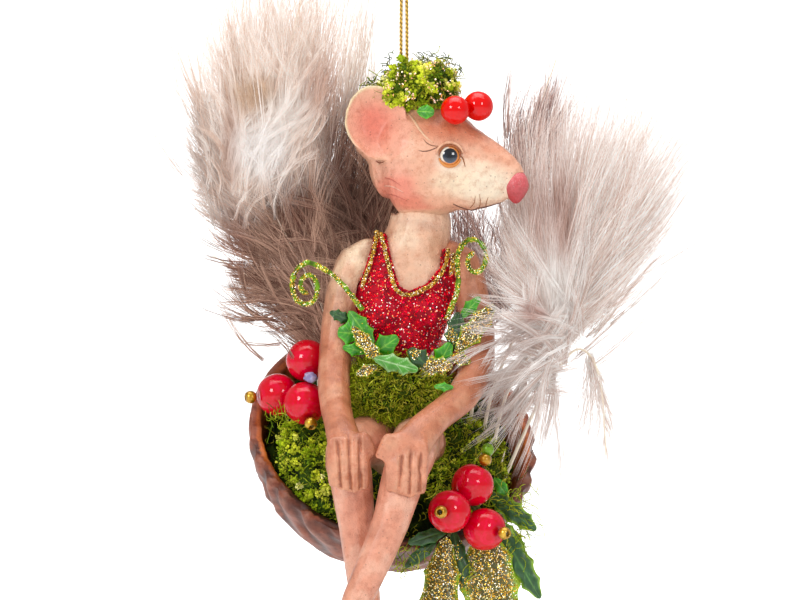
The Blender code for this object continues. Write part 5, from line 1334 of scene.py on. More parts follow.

# %% [markdown]
# ## Glitter
# Craft glitter is small six-sided chips cut from metal foil and held by clear glue. One chip is
# made by hand as a low six-sided cone. Its copies each turn their own way, so the lamps catch
# them one by one. Most are 0.3 to 0.4 mm across, against 0.2 mm on the real piece, so that they
# show. Their colours are lit and shaded copies of the foil's colour with near-white painted
# glints, and the foil glows a little with its own colour, as painted light.

# %% Glitter chip
chip = start_shape("glitter_chip", bpy.ops.mesh.primitive_cone_add, vertices=6,
                   radius1=0.13 * MM, radius2=0.0, depth=0.06 * MM)
edit(chip, bpy.ops.transform.resize, value=(1.0, 0.85, 1.0))
# the foil glows a little with its own colour, as painted light
foil = start_finish("cut_foil_glitter", "D9A441", 0.26, Metallic=1.0, Emission_Strength=0.4)
add(foil, "Attribute", feeds=["Base Color", "Emission Color"], attribute_name="paint")
foil_place = add(foil, "TexCoord").outputs["Object"]
foil_noise = add(foil, "TexNoise", {"Vector": foil_place, "Scale": 3000.0})
add(foil, "MapRange", {"Value": foil_noise, "To Min": 0.16, "To Max": 0.36},
    feeds=["Roughness"])

# chip colours: lit and shaded copies of each foil's colour, with near-white painted glints
GOLD_CHIPS_LIT_AND_SHADED = (("C8922A", "F2C648", "7E5614", "FFF0A8", "FFFFF0", "463008"), (5, 5, 4, 4, 3, 3))
RED_CHIPS_LIT_AND_SHADED = (("CE0022", "FF2A26", "96001C", "C0003E", "FFB478", "FFE8E0", "6A0012"),
             (9, 6, 5, 4, 2.2, 2.4, 3))


def glitter(name, carrier, spacing, seed, chips, keep=None, size=1.0, by_alpha=False,
            lift=0.02):
    """Chips scattered over a carrier and set above it by a lift in millimetres."""
    spots, normals = scatter(carrier, spacing, seed, keep, by_alpha)
    rng = np.random.default_rng(seed + 1)
    turns = frames_on(normals, rng, 0.55) * size * rng.uniform(0.7, 1.35, (len(spots), 1, 1))
    made = copies(name, chip, turns, spots + normals * lift * MM,
                  palette(*chips, len(spots), rng))
    return hand_over(made, foil, angle=5)


print("chip", len(chip.data.polygons), "faces")

# %% [markdown]
# ## Dress top
# The bodice is painted crimson on the casting, brushed with glue and rolled in red glitter. Its
# edges are a bead of glue rolled in gold. The red chips are lit and shaded copies of one red, and
# a few pale gold and pink-white ones among them are painted glints that give the warm sparkle.

# %% Washed copies
enamel = start_finish("brushed_enamel", "A30B22", 0.6, Specular_IOR_Level=0.2)
add(enamel, "Attribute", feeds=["Base Color"], attribute_name="paint")
enamel_place = add(enamel, "TexCoord").outputs["Object"]
enamel_noise = add(enamel, "TexNoise", {"Vector": enamel_place, "Scale": 2600.0, "Detail": 3.0})
add(enamel, "Bump", {"Height": enamel_noise, "Strength": 0.7, "Distance": 0.0001},
    feeds=["Normal"])


def washed_copy(node, name, cell, rounds, codes, size, relief=0.0):
    """A smooth copy of a solid, washed with two colours in soft patches."""
    made = cast_copy(node, name, cell, rounds)
    places, normals = places_of(made)
    patches = ripple(places, size, len(name))
    if relief:
        move_vertices(made, places + normals * (relief * patches[:, None]))
    paint(made, mix(*codes, ease(-0.4, 0.4, patches)))
    return hand_over(made, enamel, [node])


# %% Bodice and braid
bodice = washed_copy("bodice", "bodice_enamel", 0.25 * MM, 4, ("7A0016", "B80020"), 2.2 * MM)
glitter("bodice_glitter", bodice, 0.42 * MM, 31, RED_CHIPS_LIT_AND_SHADED, size=1.65)
for number, node in enumerate(("neckline_trim", "armhole_trim_left", "armhole_trim_right")):
    braid = washed_copy(node, node + "_glue", 0.16 * MM, 2, ("4E3208", "A87A20"), 0.7 * MM,
                        0.14 * MM)
    glitter(node + "_glitter", braid, 0.24 * MM, 40 + number, GOLD_CHIPS_LIT_AND_SHADED, size=1.15)
for number, node in enumerate(("tendril_left", "tendril_right")):
    wire = washed_copy(node, node + "_wire", 0.16 * MM, 2, ("3E5A0E", "74A020"), 1.6 * MM,
                       0.14 * MM)
    glitter(node + "_glitter", wire, 0.28 * MM, 50 + number, GOLD_CHIPS_LIT_AND_SHADED, size=1.25,
            keep=lambda spots, normals: ripple(spots, 2.0 * MM, 3.0) > -0.28)

# %% [markdown]
# ## Leaves
# The leaves are printed satin cloth, stiffened and cut out. A flat grid is shaped by a formula:
# the teeth come from a wave along the edge, the midrib is a shallow groove, and the blade arches
# and curls. A solidify modifier gives it the cloth's thickness. Veins and edges are dyed lighter.

# %% Leaf maker
satin = start_finish("printed_satin_leaf", "3E8E1E", 0.38, Coat_Weight=0.35, Coat_Roughness=0.25)
satin_place, _ = grained_paint(satin, {"Scale": 900.0, "Detail": 4.0}, 0.7,
                               [(0.34, "B9C9A0"), (0.58, "FFFFFF")])
satin_weave = add(satin, "TexWave", {"Vector": satin_place, "Scale": 1500.0, "Distortion": 1.5})
add(satin, "Bump", {"Height": satin_weave.outputs["Fac"], "Strength": 0.25,
                    "Distance": 0.00004}, feeds=["Normal"])

LEAF_THICKNESS = 0.16 * MM
# middle, edge and vein dyes
BRIGHT = ("369812", "62C81E", "9CDC4C")
DEEP = ("1E4A1C", "2F6B22", "4E7F3A")
HOLLY = ("1E5224", "A4CE22", "5C8E3C")
OLIVE = ("50501A", "A6CC1E", "84782A")
PALE = ("4E9E2C", "A6D08C", "C8E6B4")


def leaf(name, base, tip, half_width, dyes, teeth=3, depth=0.35, arch=0.5, curl=0.0, sparkle=0.0,
         carrier=None, rows=34, columns=14):
    """A thin toothed leaf from base to tip, which faces the viewer.

    Sparkle is the share of its front that glitter covers. With a carrier, the leaf is brought
    forward until all of it clears the carrier.
    """
    made = start_shape(name, bpy.ops.mesh.primitive_grid_add, x_subdivisions=columns,
                       y_subdivisions=rows, size=2.0)
    flat, _ = places_of(made)
    v, u = flat[:, 0], (flat[:, 1] + 1) / 2
    base, tip = np.array(base) * MM, np.array(tip) * MM
    length = np.linalg.norm(tip - base)
    along = (tip - base) / length
    side = unit(np.cross(along, (0.0, -1.0, 0.0)))
    up = np.cross(side, along)
    wave = np.abs(np.sin(np.pi * teeth * u)) ** 0.6
    reach = half_width * MM * np.sin(np.pi * np.clip(u, 0, 1) ** 0.9) ** 0.6 * (1 - depth * wave)
    spine = np.sin(np.pi * u) * arch * MM
    roll = curl * v
    groove = -0.10 * MM * np.exp(-(v / 0.10) ** 2) * np.sin(np.pi * u)
    buckle = 0.22 * MM * np.sin(2 * np.pi * teeth * u + 0.6) * v * v
    places = (base + np.outer(u * length + 0.22 * np.abs(v) * reach, along)
              + np.outer(reach * v * np.sinc(roll / np.pi), side)
              + np.outer(spine + groove + buckle - reach * np.abs(v) * np.sin(roll * v) * 0.5, up))
    if carrier is not None:
        short = 0.0
        for spot in places:
            hit = carrier.ray_cast(Vector((spot[0], -0.08, spot[2])), Vector((0, 1, 0)))[0]
            if hit is not None:
                short = max(short, spot[1] - hit.y)
        places[:, 1] -= short + 0.35 * MM
    move_vertices(made, places)
    fork = np.abs(((u * 6.0 - np.abs(v) * 1.3) % 1.0) - 0.5) * 2
    vein = np.maximum(np.exp(-(v / 0.06) ** 2), 0.7 * ease(0.82, 1.0, fork))
    tone = mix(dyes[0], dyes[1], ease(0.62, 1.0, np.abs(v)))
    tone = mix(tone, dyes[2], 0.75 * vein)
    tone = tone * (1 + 0.22 * ripple(places, 2.4 * MM, len(name))[:, None])
    patch = ease(-0.25, 0.25, ripple(places, 3.0 * MM, 9.0) + 2.0 * sparkle - 1.0)
    paint(made, np.clip(tone, 0, 1), patch * ease(1.02, 0.80, np.abs(v)) if sparkle else 0.0)
    edit(made, bpy.ops.mesh.remove_doubles, threshold=0.02 * MM)
    apply_modifier(made, "SOLIDIFY", thickness=LEAF_THICKNESS, offset=0.0)
    return made


def leaf_cluster(name, node, leaves, seed, spacing=0.26):
    """Several leaves joined to one piece, with glitter where their paint asks for it."""
    select_only(leaves[0])
    for other in leaves[1:]:
        other.select_set(True)
    if len(leaves) > 1:
        bpy.ops.object.join()
    joined = leaves[0]
    joined.name = name
    hand_over(joined, satin, [node])
    if any(item.color[3] > 0 for item in joined.data.color_attributes["paint"].data):
        glitter(name + "_glitter", joined, spacing * MM, seed, GOLD_CHIPS_LIT_AND_SHADED, by_alpha=True,
                size=1.3, keep=lambda spots, normals: normals[:, 1] < -0.1)


def seen_at(px, py, depth):
    """A place in millimetres from a picture pixel and its depth."""
    x, z = picture(px, py)
    return (x / MM, depth, z / MM)


# %% Collar leaves
body_front = tree_of(bodice, torso, *arms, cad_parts["moss_skirt"])
# base and tip pixels, half width, dyes, teeth and sparkle of each leaf
COLLAR = {
    "collar_leaf_left_outer": [
        ((352, 321), (330, 312), 1.7, DEEP, 3, 0.0), ((362, 334), (338, 332), 3.2, BRIGHT, 2, 0.12),
        ((349, 311), (373, 344), 2.7, BRIGHT, 3, 0.12),
        ((352, 326), (382, 364), 2.3, OLIVE, 3, 0.75)],
    "collar_leaf_left_inner": [
        ((371, 355), (398, 337), 3.0, BRIGHT, 2, 0.0), ((374, 358), (418, 370), 2.6, PALE, 3, 0.0),
        ((366, 352), (343, 347), 1.7, BRIGHT, 2, 0.2),
        ((378, 366), (356, 374), 1.8, OLIVE, 2, 0.6)],
    "collar_leaf_right_inner": [
        ((431, 369), (409, 349), 2.7, DEEP, 2, 0.45), ((436, 370), (450, 343), 2.7, BRIGHT, 2, 0.1),
        ((418, 366), (452, 366), 2.9, OLIVE, 3, 0.95),
        ((434, 386), (453, 387), 1.2, BRIGHT, 2, 0.0)],
    "collar_leaf_right_outer": [
        ((452, 352), (459, 312), 2.9, DEEP, 3, 0.4), ((456, 352), (494, 305), 3.3, OLIVE, 3, 0.95),
        ((460, 318), (480, 297), 1.8, BRIGHT, 2, 0.15),
        ((450, 356), (470, 362), 1.9, OLIVE, 2, 0.8)],
}
COLLAR_DEPTHS = (-4.0, -5.0, -4.4, -5.4)
for number, (node, rows) in enumerate(COLLAR.items()):
    group = [leaf(f"{node}_{index}", seen_at(*base, depth), seen_at(*tip, depth - 0.8), width,
                  dyes, teeth, 0.38, 0.5, 0.25, sparkle, body_front)
             for index, (depth, (base, tip, width, dyes, teeth, sparkle))
             in enumerate(zip(COLLAR_DEPTHS, rows))]
    leaf_cluster(node + "_cloth", node, group, 60 + number)

# %% Leaves of the berry pick
PICK_LEAVES = {
    "holly_leaf_upper": ("leaf_green", [
        ((488, 492, -3.2), (536, 530, -4.2), 2.9, HOLLY, 4, 0.0),
        ((494, 478, -2.6), (508, 496, -3.4), 1.5, BRIGHT, 2, 0.0)]),
    "holly_leaf_lower": ("leaf_green", [
        ((490, 512, -5.6), (540, 598, -7.0), 3.6, HOLLY, 5, 0.0),
        ((498, 520, -5.0), (524, 548, -5.6), 1.8, HOLLY, 3, 0.0)]),
    "holly_leaf_small": ("leaf_green", [
        ((446, 530, -9.4), (408, 542, -12.4), 1.9, DEEP, 3, 0.0),
        ((436, 540, -9.4), (405, 566, -11.4), 1.6, DEEP, 3, 0.0)]),
    "glitter_leaf_broad": ("glitter_leaf_green", [
        ((484, 524, -7.2), (497, 659, -9.6), 7.6, OLIVE, 5, 0.86)]),
    "glitter_leaf_curled": ("glitter_leaf_green", [
        ((446, 536, -9.8), (433, 659, -13.0), 5.6, OLIVE, 4, 0.95),
        ((452, 528, -8.0), (470, 600, -8.0), 2.4, DEEP, 4, 0.4)]),
}
for number, (node, (slot, rows)) in enumerate(PICK_LEAVES.items()):
    group = [leaf(f"{node}_{index}", seen_at(*base), seen_at(*tip), width, dyes, teeth,
                  0.30 if dyes is HOLLY else 0.22, 1.0, 0.9 if "curled" in node else 0.35, sparkle,
                  rows=44)
             for index, (base, tip, width, dyes, teeth, sparkle) in enumerate(rows)]
    leaf_cluster(node + "_cloth", node, group, 70 + number, 0.30)

# %% [markdown]
# ## Moss
# Two mosses were used. The hat and the left of the shell have reindeer moss, which is a mass of
# tiny round buds in lobes with shaded gaps between. The lap and the right of the shell have a curly
# fibrous one. Each clump is a rough core, made from its solid and painted dark as painted shade,
# under buds and curled fibres.

# %% Moss makers
# the moss glows a little with its own colour, as painted light
moss = start_finish("dyed_dried_moss", "6F8F1E", 0.85, Specular_IOR_Level=0.1,
                    Emission_Strength=0.2)
_, moss_noise = grained_paint(moss, {"Scale": 2400.0, "Detail": 3.0}, 0.8,
                              [(0.35, "9AA06A"), (0.6, "FFFFFF")],
                              ["Base Color", "Emission Color"])
add(moss, "Bump", {"Height": moss_noise, "Strength": 0.8, "Distance": 0.00015},
    feeds=["Normal"])
bud = start_shape("moss_bud", bpy.ops.mesh.primitive_ico_sphere_add, subdivisions=1, radius=1.0)
edit(bud, bpy.ops.transform.resize, value=(0.85, 1.0, 1.25))


def moss_core(node, codes, sink, relief, size, cell=0.5):
    """The inside of a clump, painted dark as painted shade, drawn in a little and roughened."""
    core = cast_copy(node, node + "_core", cell * MM, 5)
    places, normals = places_of(core)
    rough = ripple(places, size * MM, len(node), 3)
    move_vertices(core, places + normals * ((relief * rough - sink) * MM)[:, None])
    paint(core, mix(*codes, ease(-0.2, 0.4, rough)))
    return hand_over(core, moss, [node])


def buds(name, core, spacing, each, ball, size, chips, seed, rise=0.6, keep=None):
    """Small round buds in balls over a core. A ball's inner buds are painted darker, as painted
    shade.
    """
    spots, normals = scatter(core, spacing * MM, seed, keep)
    rng = np.random.default_rng(seed)
    count = len(spots)
    tints = np.repeat(palette(*chips, count, rng), each, axis=0)
    hubs = spots + normals * rng.uniform(0.1, rise, (count, 1)) * MM
    balls = np.repeat(rng.uniform(0.6, 1.15, (count, 1)), each, axis=0) * ball * MM
    away = unit(rng.normal(0, 1, (count * each, 3)))
    far = rng.uniform(0.45, 1.0, (count * each, 1))
    places = np.repeat(hubs, each, axis=0) + away * far * balls
    outside = (away * np.repeat(normals, each, axis=0)).sum(axis=1, keepdims=True)
    scale = size * MM * rng.uniform(0.55, 1.25, (count * each, 1, 1))
    turns = frames_on(away, rng, 0.5) * scale
    # inner buds of a ball are painted darker, as painted shade
    tints = (tints * (0.55 + 0.55 * ease(-0.6, 0.9, outside))
             * rng.uniform(0.8, 1.2, (count * each, 1)))
    made = copies(name, bud, turns, places, np.clip(tints, 0, 1))
    return hand_over(made, moss)


def curls(spots, normals, length, rng, stations=8, curl=1.1, turns=1.0, tilt=0.4):
    """Curled fibres that leave a surface, as lines of shape (count, stations, 3)."""
    count = len(spots)
    axes = frames_on(normals, rng, tilt)
    s = np.linspace(0, 1, stations)[None, :]
    phase = rng.uniform(0, 2 * np.pi, (count, 1)) + (2 * np.pi * turns * s
                                                     * rng.uniform(-1.3, 1.3, (count, 1)))
    step = unit(axes[:, 2][:, None] + curl * (np.cos(phase)[..., None] * axes[:, 0][:, None]
                                              + np.sin(phase)[..., None] * axes[:, 1][:, None]))
    reach = length * MM * rng.uniform(0.5, 1.3, (count, 1, 1))
    walk = np.cumsum(step * reach / (stations - 1), axis=1)
    return spots[:, None] + np.concatenate([np.zeros((count, 1, 3)), walk[:, :-1]], axis=1)


def fibres(name, core, spacing, length, thick, chips, seed, keep=None, curl=1.1, turns=1.0,
           stations=5, clear=None):
    """Curled fibres all over a core, without those that the function clear sorts out."""
    spots, normals = scatter(core, spacing * MM, seed, keep)
    rng = np.random.default_rng(seed)
    lines = curls(spots, normals, length, rng, stations, curl, turns)
    if clear is not None:
        lines = lines[clear(lines)]
        spots = spots[:len(lines)]
    shade = np.linspace(0.55, 1.15, stations)[None, :, None]
    tints = np.clip(palette(*chips, len(spots), rng)[:, None] * shade, 0, 1)
    radii = thick * MM * rng.uniform(0.6, 1.2, (len(spots), 1)) * np.ones((1, stations))
    return hand_over(strands(name, lines, radii, tints), moss)


LIME = (("CED638", "B0C222", "E4E660", "8EA816", "F2EE9A"), (5, 5, 3, 3, 1))
PALE_LIME = (("DEE444", "C6D42E", "F0EC74", "A0BA20", "F6F0A6"), (5, 5, 3, 3, 1))
FERN = (("92A41C", "AEBA2A", "66821A", "C8CA44", "425810"), (5, 4, 3, 3, 1))
FOREST = (("7C8212", "9A9A20", "545C0C", "B4AC38", "C0B44C"), (5, 5, 3, 3, 1))

# %% Hat moss
hat = moss_core("moss_hat", ("1C2A0A", "4A6414"), 0.9, 0.8, 3.5)
# the clump's solid has the reach of its loosest curls, so its core is pressed down to the mass
HAT_PX = (358, 366, 376, 386, 395, 404, 415, 430, 445, 455, 462, 470)
HAT_PY = (94, 92, 88, 82, 72, 61, 63, 66, 64, 72, 86, 94)
HAT_FOOT = 108  # the row below which the core stays as it is
places, _ = places_of(hat)
px, py = pixel_of(places)
tops = [py[np.abs(px - at) < 5].min(initial=HAT_FOOT + 2) for at in HAT_PX]
now, wanted = (HAT_FOOT - np.interp(px, HAT_PX, rows) for rows in (tops, HAT_PY))
pressed = HAT_FOOT - (HAT_FOOT - py) * wanted / np.maximum(now, 4)
places[:, 2] = np.where(py < HAT_FOOT, picture(0, pressed)[1], places[:, 2])
move_vertices(hat, places)
CORD_HOLE = 2.3 * MM
SWING_HEIGHT = -36.9  # mm, where the knot's bight turns in the screw eye
SWING_SLOPE = 0.28  # a little more than the tangent of the swing's 15 degrees


def off_the_cord(spots, normals):
    """Keeps moss away from the cord's own hole."""
    return np.hypot(spots[:, 0], spots[:, 1]) > CORD_HOLE


def clear_of_cord(lines):
    """Says which lines the cord misses however far the figure swings to the front or the back."""
    above = np.maximum(lines[..., 2] / MM - SWING_HEIGHT, 0)
    near = ((np.abs(lines[..., 0]) < 1.4 * MM)
            & (np.abs(lines[..., 1]) < (0.8 + SWING_SLOPE * above) * MM))
    return ~near.any(axis=1)


def seen_left(spots):
    """How far left a place lies on the hat, from 0 to 1."""
    return ease(-2.0, -6.5, spots[:, 0] / MM)


buds("hat_buds", hat, 2.5, 24, 1.5, 0.42, PALE_LIME, 81, 0.9,
     lambda spots, normals: off_the_cord(spots, normals) & (seen_left(spots) < 0.5))
buds("hat_dark_buds", hat, 2.0, 10, 1.2, 0.28, FERN, 82, 0.3, off_the_cord)
fibres("hat_fibres", hat, 0.9, 3.4, 0.08, FOREST, 83, off_the_cord, 1.3, 1.0,
       clear=clear_of_cord)
SPARKLE_CHIPS = (("F3C9A8", "FFE9C8", "E39A7A", "D8B04A", "FFFFFF"), (3, 3, 2, 3, 2))
glitter("hat_sparkle", hat, 0.42 * MM, 84, SPARKLE_CHIPS, size=1.5, lift=1.7,
        keep=lambda spots, normals: off_the_cord(spots, normals)
        & (ripple(spots, 2.6 * MM, 4.0) > 0.14) & (spots[:, 1] < 0.003)
        & (spots[:, 0] > -3.0 * MM) & (spots[:, 2] > -39.5 * MM))

# %% Wires on the hat
rng = np.random.default_rng(85)
# pixel, depth and reach of each curled tip above the hat
WIRES = [
    ((389, 62), 1.0, 3.4), ((393, 58), 0.5, 3.2), ((388, 70), -1.0, 2.6), ((424, 58), -1.0, 3.6),
    ((430, 56), 0.0, 3.6), ((440, 58), -2.0, 3.4), ((446, 60), -1.0, 3.0), ((455, 70), -2.0, 3.2),
    ((460, 74), -3.0, 2.6), ((369, 84), -3.0, 2.8), ((373, 82), -2.0, 3.0), ((380, 78), -2.0, 3.4),
    ((366, 86), -3.6, 2.2), ((384, 74), -1.5, 3.0)]
PER_TIP, WIRE_STATIONS = 5, 12
spots = np.array([seen_at(*place, depth) for place, depth, _ in WIRES]) * MM
outward = spots - np.array(seen_at(415, 95, -1.0)) * MM
outward[:, 1] = 0.0
spots = (np.repeat(spots, PER_TIP, axis=0)
         + rng.normal(0, 0.5 * MM, (len(WIRES) * PER_TIP, 3)))
outward = np.repeat(outward, PER_TIP, axis=0)
reach = np.repeat([[[reach]] for *_, reach in WIRES], PER_TIP, axis=0)
lines = curls(spots, outward, reach, rng, WIRE_STATIONS, 1.1, 1.2, 0.3)
lines = lines[clear_of_cord(lines)]
wire_tints = palette(("4A5A1C", "6E6A2E", "2E3A12", "9AA04A"), (4, 2, 3, 2), len(lines), rng)
wires = strands("hat_wires", lines, 0.11 * MM,
                wire_tints[:, None] * np.ones((1, WIRE_STATIONS, 1)))
hand_over(wires, moss)
leaf_cluster("hat_leaf_cloth", None, [
    leaf("hat_leaf", seen_at(417, 112, -9.6), seen_at(434, 113, -10.2), 1.7, BRIGHT, 2, 0.15, 0.7,
         0.4)], 86)

# %% Lap and shell moss
skirt = moss_core("moss_skirt", ("1B2A0A", "3D5214"), 0.8, 0.9, 4.0)
fibres("skirt_fibres", skirt, 0.58, 3.2, 0.10, FOREST, 91, None, 1.4, 1.2)
buds("skirt_buds", skirt, 2.4, 10, 1.3, 0.30, FOREST, 90, 1.0)
fibres("skirt_bright_fibres", skirt, 0.95, 3.8, 0.12, FERN, 92, None, 1.6, 1.4)
left_moss = moss_core("shell_moss_left", ("121C08", "344A12"), 1.0, 1.0, 4.0)
buds("left_moss_buds", left_moss, 2.1, 19, 1.45, 0.35, LIME, 93, 1.0,
     lambda spots, normals: (normals[:, 2] > -0.5) & (ripple(spots, 6 * MM, 2.0)
                                                     + 30 * (spots[:, 2] + 0.117) > -0.1))
buds("left_moss_dark_buds", left_moss, 2.0, 12, 1.3, 0.28, FERN, 94, 0.6,
     lambda spots, normals: normals[:, 2] > -0.6)
fibres("left_moss_fibres", left_moss, 1.0, 2.8, 0.09, FERN, 95,
       lambda spots, normals: spots[:, 2] < -0.1085, 1.5, 1.3)
right_moss = moss_core("shell_moss_right", ("121C08", "3A4A14"), 0.8, 0.9, 3.5)
buds("right_moss_buds", right_moss, 1.8, 9, 1.1, 0.27, FERN, 96, 0.6,
     lambda spots, normals: (normals[:, 2] > -0.3) & (normals[:, 1] < 0.6))
fibres("right_moss_fibres", right_moss, 0.8, 3.0, 0.10, FOREST, 97, None, 1.5, 1.3)
packing = moss_core("moss_bed", ("0E1606", "2A3A10"), 2.2, 0.6, 4.0, 0.7)
fibres("packing_fibres", packing, 1.5, 3.0, 0.11, FOREST, 98,
       lambda spots, normals: normals[:, 2] > 0.2, 1.4, 1.2)

# %% Loose fibres round the berries
rng = np.random.default_rng(99)
# pixel, depth, spread and count of each loose tuft, with the way it hangs
TUFTS = [((402, 562), -11.0, (1.6, 1.0, 1.4), 22, (-0.2, 0, -1)),
         ((414, 548), -11.0, (1.6, 1.0, 1.4), 22, (0.1, 0, -1)),
         ((474, 566), -8.5, (1.2, 1.0, 1.6), 24, (0, 0, -1)),
         ((506, 500), -5.0, (2.4, 1.0, 1.8), 40, (0.7, -0.3, 0.2)),
         ((514, 520), -6.0, (2.2, 1.0, 2.4), 44, (0.6, -0.3, -0.6)),
         ((510, 545), -7.0, (1.8, 1.0, 2.0), 26, (0.5, -0.3, -0.8)),
         ((440, 480), -8.0, (2.0, 1.4, 2.2), 40, (-0.2, -1, 0.3)),
         ((281, 420), -2.0, (1.2, 1.0, 0.8), 26, (-0.2, -1, 0.3))]
starts = np.concatenate([np.array(seen_at(*place, depth)) + rng.normal(0, 1, (count, 3)) * spread
                         for place, depth, spread, count, _ in TUFTS]) * MM
ways = np.concatenate([np.repeat([way], count, axis=0) for *_, count, way in TUFTS]).astype(float)
lines = curls(starts, ways, 4.6, rng, 11, 0.9, 0.8, 0.5)
# the fibres are painted darker at their roots, as painted shade
tuft_tints = palette(*FERN, len(starts), rng)[:, None] * np.linspace(0.7, 1.2, 11)[None, :, None]
tufts = strands("loose_moss", lines, 0.08 * MM, np.clip(tuft_tints, 0, 1))
hand_over(tufts, moss)

# %% [markdown]
# ## Berries and beads
# The pick berries are foam balls dipped in pearly crimson lacquer, with a dimple where the wire
# comes through and a gold bead on it. The two on the hat are clear vermilion. The lacquer is a
# thick clear coat, so each berry shows the lamps as small bright windows.

# %% Lacquer
def lacquer(name, deep, pale, metallic):
    """A clear-coated pearly lacquer with soft swirls of a paler colour."""
    finish = start_finish(name, deep, 0.38, Metallic=metallic, Coat_Weight=1.0,
                          Coat_Roughness=0.04, Coat_IOR=1.45, Specular_IOR_Level=0.0)
    place, _ = grained_paint(finish, {"Scale": 260.0, "Detail": 4.0, "Distortion": 2.2}, 1.0,
                             [(0.46, deep), (0.86, pale)])
    dust = add(finish, "TexNoise", {"Vector": place, "Scale": 2500.0})
    add(finish, "Bump", {"Height": dust, "Strength": 0.06, "Distance": 0.00005},
        feeds=["Normal"])
    return finish


def bead(name, node, finish, pole, dimple, mouth, hole=False, grow_by=1.0):
    """A round bead in place of its solid, with a dimple or a hole on the side of its pole, painted
    darker there as painted shade.
    """
    low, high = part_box(node)
    centre, radius = (low + high) / 2, grow_by * max(high - low) / 2
    made = start_shape(name, bpy.ops.mesh.primitive_uv_sphere_add, segments=36, ring_count=24,
                       radius=radius)
    places, _ = places_of(made)
    off_axis = np.hypot(places[:, 0], places[:, 1]) / radius
    near_pole = (places[:, 2] > 0) * np.exp(-(off_axis / mouth) ** (6 if hole else 2))
    places[:, 2] -= dimple * radius * near_pole
    places *= (1 + 0.012 * ripple(places, radius, len(name)))[:, None]
    turn = np.array(Vector(pole).to_track_quat("Z", "X").to_matrix())
    move_vertices(made, places @ turn.T + np.array(centre))
    # the dimple and the hole are painted darker, as painted shade
    dark = 1 - (0.96 if hole else 0.35) * near_pole
    paint(made, np.repeat(dark[:, None], 3, axis=1))
    return hand_over(made, finish, [node])


crimson = lacquer("pearly_crimson_lacquer", "D0001C", "EC0048", 0.0)
vermilion = lacquer("clear_vermilion_lacquer", "DC0000", "E60A00", 0.0)
gold = lacquer("gold_bead_lacquer", "B8860E", "FFD750", 0.85)
leaf_bead = lacquer("green_bead_lacquer", "6E9A1A", "B4D83A", 0.3)

# %% Berries
POLES = {"left_outer": (-0.95, -0.28, -0.08), "left_inner": (0.22, -0.66, -0.72),
         "left_top": (0.4, 0.3, -0.86), "right_top": (0.45, 0.05, 0.9),
         "right_front": (-0.3, -0.95, 0.0), "right_low": (0.7, -0.7, -0.12)}
for place, pole in POLES.items():
    bead("berry_" + place + "_lacquered", "berry_" + place, crimson, pole, 0.10,
         0.30, grow_by=1.02)
for place in ("left_outer", "left_inner", "right_top", "right_front", "right_low"):
    bead("bead_" + place + "_gilt", "bead_" + place, gold, POLES[place], 0.75, 0.42,
         True, 1.1)
bead("bead_right_green_dipped", "bead_right_green", leaf_bead, (0.2, -0.6, 0.8), 0.3,
     0.3, grow_by=1.1)
bead("hat_berry_left_dipped", "hat_berry_left", vermilion, (-0.6, 0.2, -0.8),
     0.12, 0.3, grow_by=1.05)
bead("hat_berry_right_dipped", "hat_berry_right", vermilion,
     (-0.5, 0.3, -0.8), 0.12, 0.3, grow_by=1.08)

# %% Glue, stems and screw eye
glue = start_shape("glue_drop", bpy.ops.mesh.primitive_ico_sphere_add, subdivisions=4,
                   radius=1.5 * MM)
glue_places, glue_normals = places_of(glue)
glue_places += glue_normals * (0.5 * MM * ripple(glue_places, 1.6 * MM, 2.0))[:, None]
move_vertices(glue, glue_places * (1.0, 1.0, 0.75) + np.array(seen_at(311, 377, -2.4)) * MM)
paint(glue, np.ones((len(glue_places), 3)))
hand_over(glue, lacquer("lilac_glue", "8E86B4", "D8D4EC", 0.0))
tape = start_finish("floral_tape", "5A5A22", 0.7)
steel = start_finish("bright_steel_wire", "C8C4B8", 0.28, Metallic=1.0)
for node, finish in (("pick_stem_left", tape), ("pick_stem_right", tape), ("screw_eye", steel)):
    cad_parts[node].data.materials.clear()
    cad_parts[node].data.materials.append(finish)

# %% [markdown]
# ## Walnut shell
# The half shell has a wrinkled, reddish brown outside, a smooth cut rim and an orange brown
# inside under varnish. Broad ridges run from end to end of a walnut and a net of finer ones
# joins them. They are pressed into a fine copy of the shell. The grooves are painted dark as
# painted shade, the ridges paler as painted highlight, and the inside darker the deeper it goes,
# as painted shade.

# %% Shell
nut = start_finish("varnished_walnut_shell", "7A4030", 0.5, Coat_Weight=0.2, Coat_Roughness=0.2,
                   Specular_IOR_Level=0.3)
_, nut_noise = grained_paint(nut, {"Scale": 420.0, "Detail": 6.0, "Roughness": 0.7}, 0.8,
                             [(0.36, "B89888"), (0.56, "FFFFFF")])
add(nut, "Bump", {"Height": nut_noise, "Strength": 0.3, "Distance": 0.0004}, feeds=["Normal"])

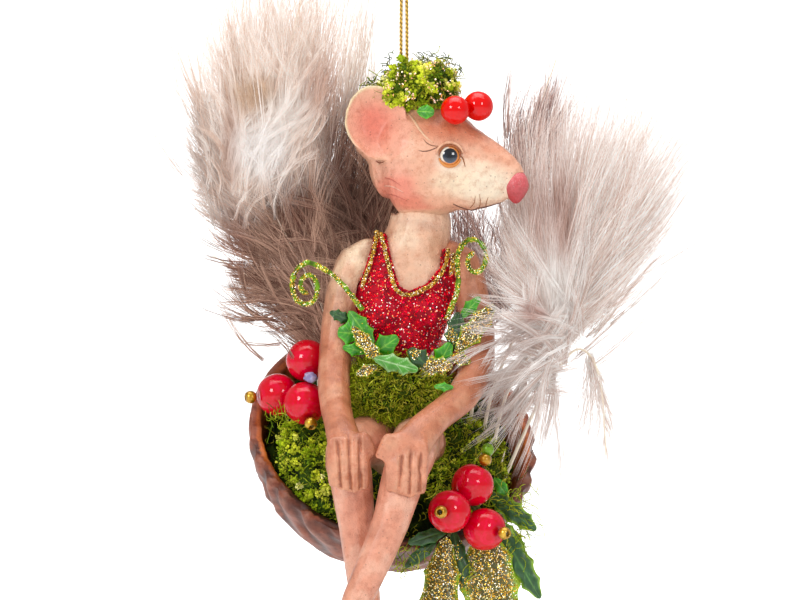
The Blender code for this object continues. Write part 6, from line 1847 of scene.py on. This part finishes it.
shell = cast_copy("walnut_shell", "walnut_shell_husk", 0.55 * MM, 4)
places, normals = places_of(shell)
bowl = np.array(Matrix.Rotation(math.radians(12), 3, "Z")
                @ Matrix.Rotation(math.radians(-40), 3, "X"))
local = (places - SHELL_MIDDLE * MM) @ bowl
outward = normals @ bowl
away = (outward * local).sum(axis=1) > 0
depth = -local[:, 2] / MM
rim = ease(1.6, 0.4, depth)
angle = np.arctan2(local[:, 1], local[:, 0])
warp = ripple(places, 11 * MM, 1.0)
rolls = np.sin(1.15 * depth + 2.6 * warp + 1.2 * np.sin(2 * angle + 0.5))
net = ripple(places * (1.0, 1.0, 1.8), 5.0 * MM, 6.0, 3)
crease = -np.abs(ripple(places, 8 * MM, 12.0, 2))
relief = np.where(away, (0.44 * rolls + 0.14 * net + 0.45 * crease) * (1 - 0.8 * rim), 0.10 * net)
move_vertices(shell, places + normals * (relief * MM)[:, None])
outer = mix("8E4E38", "6A3828", ease(-0.3, 0.4, net))
# the ridges are painted paler, as painted highlight
outer = mix(outer, "B07E68", 0.4 * ease(0.05, 0.45, relief))
# the grooves are painted dark, as painted shade
outer = mix(outer, "44241A", 0.65 * ease(-0.10, -0.5, relief))
# the inside is painted darker the deeper it goes, as painted shade
inner = mix("CC7030", "9A4A1C", ease(3.0, 9.0, depth))
inner = mix(inner, "3A1A0C", ease(9.0, 18.0, depth))
tone = np.where(away[:, None], outer, inner)
tone = mix(tone, "B0644A", 0.8 * rim * (0.6 + 0.4 * net))
paint(shell, np.clip(tone, 0, 1))
hand_over(shell, nut, ["walnut_shell"])
for shape in (chip, bud):
    bpy.data.objects.remove(shape)

# %% [markdown]
# ## Lighter meshes
# A remesh spends as many cells on a plain cheek as on an eyelid. Now that the paint is on the
# vertices, a decimate modifier joins the cells that add nothing, so that the model stays light.

# %% Lighter meshes
LIGHTER = {"walnut_shell_husk": 0.6, "bodice_enamel": 0.4, "torso_casting": 0.6,
           "leg_left_casting": 0.6, "leg_right_casting": 0.6, "arm_left_casting": 0.7,
           "arm_right_casting": 0.7, "head_casting": 0.75, "moss_bed_core": 0.5}
for name, share in LIGHTER.items():
    obj = bpy.data.objects[name]
    before = len(obj.data.polygons)
    apply_modifier(obj, "DECIMATE", ratio=share)
    print(name, before, "->", len(obj.data.polygons), "faces")
